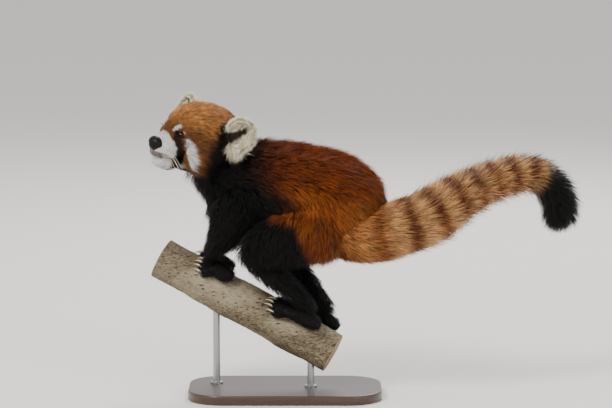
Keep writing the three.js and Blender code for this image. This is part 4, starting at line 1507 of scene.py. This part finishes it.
class REDPANDA_OT_whiskers(bpy.types.Operator):
    """Make the whiskers on both sides of the muzzle"""

    bl_idname = "redpanda.whiskers"
    bl_label = "Whiskers"

    def execute(self, context):
        rng = np.random.default_rng(9)
        points, edges = [], []
        for sign in SIDES.values():
            for row in range(WHISKERS["rows"]):
                for column in range(WHISKERS["columns"]):
                    root = in_head(66 - 5 * column, (15.5 + 2 * column) * sign, -31 - 4.2 * row)
                    long = WHISKERS["long"] * rng.uniform(0.6, 1) * (0.55 + 0.15 * column)
                    lean = rng.normal(0, 0.12)
                    droop = -0.5 - 0.25 * row + lean
                    way = unit(np.array([-0.2 - 0.25 * column, 0.9 * sign, droop]) @ HEAD_AXES)
                    sag = -UP * long * 0.5
                    base = len(points)
                    for s in np.linspace(0, 1, WHISKERS["steps"] + 1):
                        points.append((root + way * long * s + sag * s * s) * MM)
                    edges += [(base + i, base + i + 1) for i in range(WHISKERS["steps"])]
        mesh = bpy.data.meshes.new("whisker_lines")
        mesh.from_pydata([tuple(p) for p in points], edges, [])
        obj = bpy.data.objects.new("whisker_lines", mesh)
        context.scene.collection.objects.link(obj)
        modifier = obj.modifiers.new("hairs", "NODES")
        modifier.node_group = whisker_tree()
        values = {"Thickness": WHISKERS["thick"] * MM, "Material": whisker_material()}
        for item in modifier.node_group.interface.items_tree:
            if item.in_out == "INPUT" and item.name in values:
                modifier[item.identifier] = values[item.name]
        whiskers = evaluated(obj, "whiskers")
        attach(whiskers, BODY)
        return {"FINISHED"}


class REDPANDA_OT_claws(bpy.types.Operator):
    """Make the claws, five on each foot"""

    bl_idname = "redpanda.claws"
    bl_label = "Claws"

    def execute(self, context):
        horn = horn_material()
        ahead = -branch_along
        for side, sign in SIDES.items():
            for kind in FOOT:
                parts = []
                toe = FOOT[kind]["toe"]
                for at, out in foot_places(kind, sign)[1]:
                    root = at + ahead * toe * 0.6
                    tip = at + ahead * (toe + CLAW["long"]) - out * toe * 0.5
                    shares = np.linspace(0, 1, 9)
                    arch = np.sin(math.pi * shares)[:, None] * out * CLAW["long"] * 0.3
                    path = root + (tip - root) * shares[:, None] + arch
                    radii = CLAW["thick"] / 2 * np.maximum(1 - shares**1.6, 0.05)
                    parts.append(tube(path * MM, radii * MM, np.tile(out, (len(path), 1)), 10, 1.15))
                claws = mesh_object(f"claws_{kind}foot_{side}", *joined(parts))
                claws.data.materials.append(horn)
                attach(claws, BODY)
        return {"FINISHED"}


# A knot: its place along and round the branch, the half sizes and heights of its hump and of its pit
KNOT = {"at": (-96, 5.1), "hump": (11, 0.3, 3.0), "pit": (4.5, 0.12, -2.4)}


class REDPANDA_OT_branch(bpy.types.Operator):
    """Make the branch with its bark and sawn ends"""

    bl_idname = "redpanda.branch"
    bl_label = "Branch"

    def execute(self, context):
        ridge = context.scene.redpanda_branch.ridge
        low, high = BRANCH_ENDS
        steps, sides = 170, 150
        side = np.cross(branch_along, branch_up)
        points = []
        for i in range(steps):
            s = low + 1 + (high - low - 2) * i / (steps - 1)
            for j in range(sides):
                a = 2 * math.pi * j / sides
                way = branch_up * math.cos(a) + side * math.sin(a)
                seat = Vector((s * 0.016, math.cos(a) * 1.7, math.sin(a) * 1.7))
                rough = noise.fractal(seat, 0.7, 2.1, 5) * 1.2
                crack = Vector((s * 0.03, *(seat * 2.2).yz))
                furrow = noise.ridged_multi_fractal(crack, 0.9, 2.2, 4, 1, 2) - 1.1
                out = BRANCH_RADIUS - 0.9 + (rough + 0.45 * furrow) * ridge / MM
                along, around = s - KNOT["at"][0], a - KNOT["at"][1]
                for long, wide, high_out in (KNOT["hump"], KNOT["pit"]):
                    out += high_out * math.exp(-((along / long) ** 2) - (around / wide) ** 2)
                points.append((BRANCH_MIDDLE + branch_along * s + way * out) * MM)
        faces = bands(steps, sides, flip=True)
        bark_faces = len(faces)
        for start, s, flip in ((0, low + 1, False), ((steps - 1) * sides, high - 1, True)):
            ring = start
            for inner in (0.97, 0.55, 0.2):
                base = len(points)
                shift = (-0.5 if flip else 0.5) * (1 - inner)
                for j in range(sides):
                    rim = points[start + j] - (BRANCH_MIDDLE + branch_along * s) * MM
                    points.append((BRANCH_MIDDLE + branch_along * (s + shift)) * MM + rim * inner)
                faces += band(ring, base, sides, flip)
                ring = base
            points.append((BRANCH_MIDDLE + branch_along * (s + shift)) * MM)
            faces += fan(ring, sides, len(points) - 1, flip)
        branch = mesh_object("bark_branch", points, faces)
        branch.data.materials.append(bark_material())
        branch.data.materials.append(sawn_wood_material())
        for polygon in branch.data.polygons[bark_faces:]:
            polygon.material_index = 1
            polygon.use_smooth = False
        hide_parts("perch_branch")
        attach(branch, BODY)
        return {"FINISHED"}


class REDPANDA_OT_stand(bpy.types.Operator):
    """Make the stand: a plate with rounded edges, and two rods with collars"""

    bl_idname = "redpanda.stand"
    bl_label = "Stand"

    def execute(self, context):
        low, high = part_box("stand_base")
        corner, sides = 60 * MM, 24
        half = np.array([(high.x - low.x) / 2, (high.y - low.y) / 2])
        centre = np.array([(high.x + low.x) / 2, (high.y + low.y) / 2])
        outline = []
        for quarter, (sx, sy) in enumerate(((1, 1), (-1, 1), (-1, -1), (1, -1))):
            for i in range(sides + 1):
                a = math.pi / 2 * (quarter + i / sides)
                outline.append((half - corner) * (sx, sy) + corner * np.array([math.cos(a), math.sin(a)]))
        outline = np.array(outline)
        inward = -unit(outline)
        tall, round_edge = high.z - low.z, 3 * MM
        points = []
        profile = [(1.0 * MM, 0.0), (0.0, 1.0 * MM)]
        for i in range(7):
            a = math.pi / 2 * i / 6
            profile.append((round_edge * (1 - math.cos(a)), tall - round_edge * (1 - math.sin(a))))
        for inset, z in profile:
            for p, way in zip(outline, inward):
                q = p + way * inset
                points.append((centre[0] + q[0], centre[1] + q[1], low.z + z))
        count = len(outline)
        faces = bands(len(profile), count)
        faces.append(tuple(range(count))[::-1])
        faces.append(tuple(range((len(profile) - 1) * count, len(profile) * count)))
        plate = mesh_object("walnut_plate", points, faces)
        for polygon in plate.data.polygons[-2:]:
            polygon.use_smooth = False
        plate.data.materials.append(plinth_material())
        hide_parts("stand_base")
        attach(plate, BODY)
        steel, around = steel_material(), 48
        # Each rod is turned from its profile, with a chamfered collar on the plate
        for end in ("front", "rear"):
            low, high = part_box("stand_rod_" + end)
            middle = (low + high) / 2
            radius = (high.x - low.x) / 2
            base = low.z - 0.2 * MM
            stops = [(0, base), (radius + 5 * MM, base), (radius + 5 * MM, base + 2.5 * MM)]
            stops += [(radius + 4 * MM, base + 3.5 * MM), (radius, base + 4 * MM)]
            stops += [(radius, high.z), (0, high.z)]
            turned = []
            for reach, z in stops:
                for a in np.linspace(0, 2 * math.pi, around, endpoint=False):
                    turned.append((middle.x + reach * math.cos(a), middle.y + reach * math.sin(a), z))
            rod = mesh_object("steel_rod_" + end, turned, bands(len(stops), around))
            merge = rod.modifiers.new("merge", "WELD")
            merge.merge_threshold = 0.00001
            rod = evaluated(rod, "steel_rod_" + end)
            rod.data.materials.append(steel)
            rod.data.set_sharp_from_angle(angle=math.radians(35))
            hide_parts("stand_rod_" + end)
            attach(rod, BODY)
        return {"FINISHED"}


PHOTO = (612, 408)  # the picture's size in pixels
PIXEL = 1.7 * MM  # a pixel at the animal
ORIGIN_PIXEL = (285, 398)  # where the frame's origin falls in the picture
ELEVATION = math.radians(7)
FLOOR_HEIGHT = -0.0004  # in metres, just under the stand
# Place and width in metres, power in watts, and colour
LIGHTS = {
    "key_softbox": ((-1.8, -2.4, 3.0), 1.4, 150, "#fffaf2"),
    "fill_softbox": ((2.6, -2.6, 1.6), 2.2, 45, "#f3f7ff"),
    "back_softbox": ((0.8, 2.6, 2.8), 1.8, 90, "#ffffff"),
}
WORLD_COLOUR = "#f2f2f2"


class REDPANDA_OT_stage(bpy.types.Operator):
    """Set the camera, the floor and the lights"""

    bl_idname = "redpanda.stage"
    bl_label = "Stage"

    def execute(self, context):
        settings = context.scene.redpanda_stage
        distance = settings.distance
        target = Vector(
            (
                (PHOTO[0] / 2 - ORIGIN_PIXEL[0]) * PIXEL,
                0,
                (ORIGIN_PIXEL[1] - PHOTO[1] / 2) * PIXEL,
            )
        )
        camera = bpy.data.cameras.new("camera")
        camera.sensor_width = 36
        camera.lens = 36 * distance / (PHOTO[0] * PIXEL)
        camera.clip_end = 100
        place = bpy.data.objects.new("camera", camera)
        back = Vector((0, -math.cos(ELEVATION), math.sin(ELEVATION)))
        place.location = target + back * distance
        place.rotation_euler = back.to_track_quat("Z", "Y").to_euler()
        context.scene.collection.objects.link(place)
        context.scene.camera = place

        radius = settings.floor
        around = np.linspace(0, 2 * math.pi, 64, endpoint=False)
        ring = [(radius * math.cos(a), radius * math.sin(a), FLOOR_HEIGHT) for a in around]
        floor = mesh_object("floor", ring, [tuple(range(64))])
        mat, tree = material("Matt floor paint")
        matt = {"Base Color": (*settings.floor_colour, 1), "Roughness": 0.85, "Specular IOR Level": 0.2}
        shader = add(tree, "ShaderNodeBsdfPrincipled", matt)
        add(tree, "ShaderNodeOutputMaterial", {}, {"Surface": shader})
        floor.data.materials.append(mat)

        for name, (at, size, power, colour) in LIGHTS.items():
            lamp = bpy.data.lights.new(name, "AREA")
            lamp.shape = "DISK"
            lamp.size = size
            lamp.energy = power
            lamp.color = linear(colour)
            lamp_place = bpy.data.objects.new(name, lamp)
            lamp_place.location = at
            lamp_place.rotation_euler = (Vector(at) - target).to_track_quat("Z", "Y").to_euler()
            context.scene.collection.objects.link(lamp_place)
        world = bpy.data.worlds.new("studio")
        context.scene.world = world
        world.use_nodes = True
        sky = world.node_tree.nodes["Background"]
        sky.inputs["Color"].default_value = (*linear(WORLD_COLOUR), 1)
        sky.inputs["Strength"].default_value = 1.0
        return {"FINISHED"}


class REDPANDA_PT_panel(bpy.types.Panel):
    """Lists the pieces of the model"""

    bl_label = "Red Panda"
    bl_idname = "REDPANDA_PT_panel"
    bl_space_type = "VIEW_3D"
    bl_region_type = "UI"
    bl_category = "Red Panda"

    def draw(self, context):
        for operator in OPERATORS:
            self.layout.operator(operator.bl_idname)
        for group in GROUPS:
            settings = getattr(context.scene, group)
            for name in settings.bl_rna.properties.keys():
                if name not in ("rna_type", "name"):
                    self.layout.prop(settings, name)


OPERATORS = (
    REDPANDA_OT_stage,
    REDPANDA_OT_skin,
    REDPANDA_OT_coat,
    REDPANDA_OT_eyes,
    REDPANDA_OT_nose,
    REDPANDA_OT_mouth,
    REDPANDA_OT_whiskers,
    REDPANDA_OT_claws,
    REDPANDA_OT_branch,
    REDPANDA_OT_stand,
)
GROUPS = {
    "redpanda_coat": CoatSettings,
    "redpanda_branch": BranchSettings,
    "redpanda_stage": StageSettings,
}


def register():
    for group in GROUPS.values():
        bpy.utils.register_class(group)
    for name, group in GROUPS.items():
        setattr(bpy.types.Scene, name, bpy.props.PointerProperty(type=group))
    for operator in OPERATORS:
        bpy.utils.register_class(operator)
    bpy.utils.register_class(REDPANDA_PT_panel)


def unregister():
    bpy.utils.unregister_class(REDPANDA_PT_panel)
    for operator in reversed(OPERATORS):
        bpy.utils.unregister_class(operator)
    for name, group in GROUPS.items():
        delattr(bpy.types.Scene, name)
        bpy.utils.unregister_class(group)


def main():
    register()
    for operator in OPERATORS:
        group, action = operator.bl_idname.split(".")
        getattr(getattr(bpy.ops, group), action)()
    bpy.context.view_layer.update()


if __name__ == "__main__":
    main()
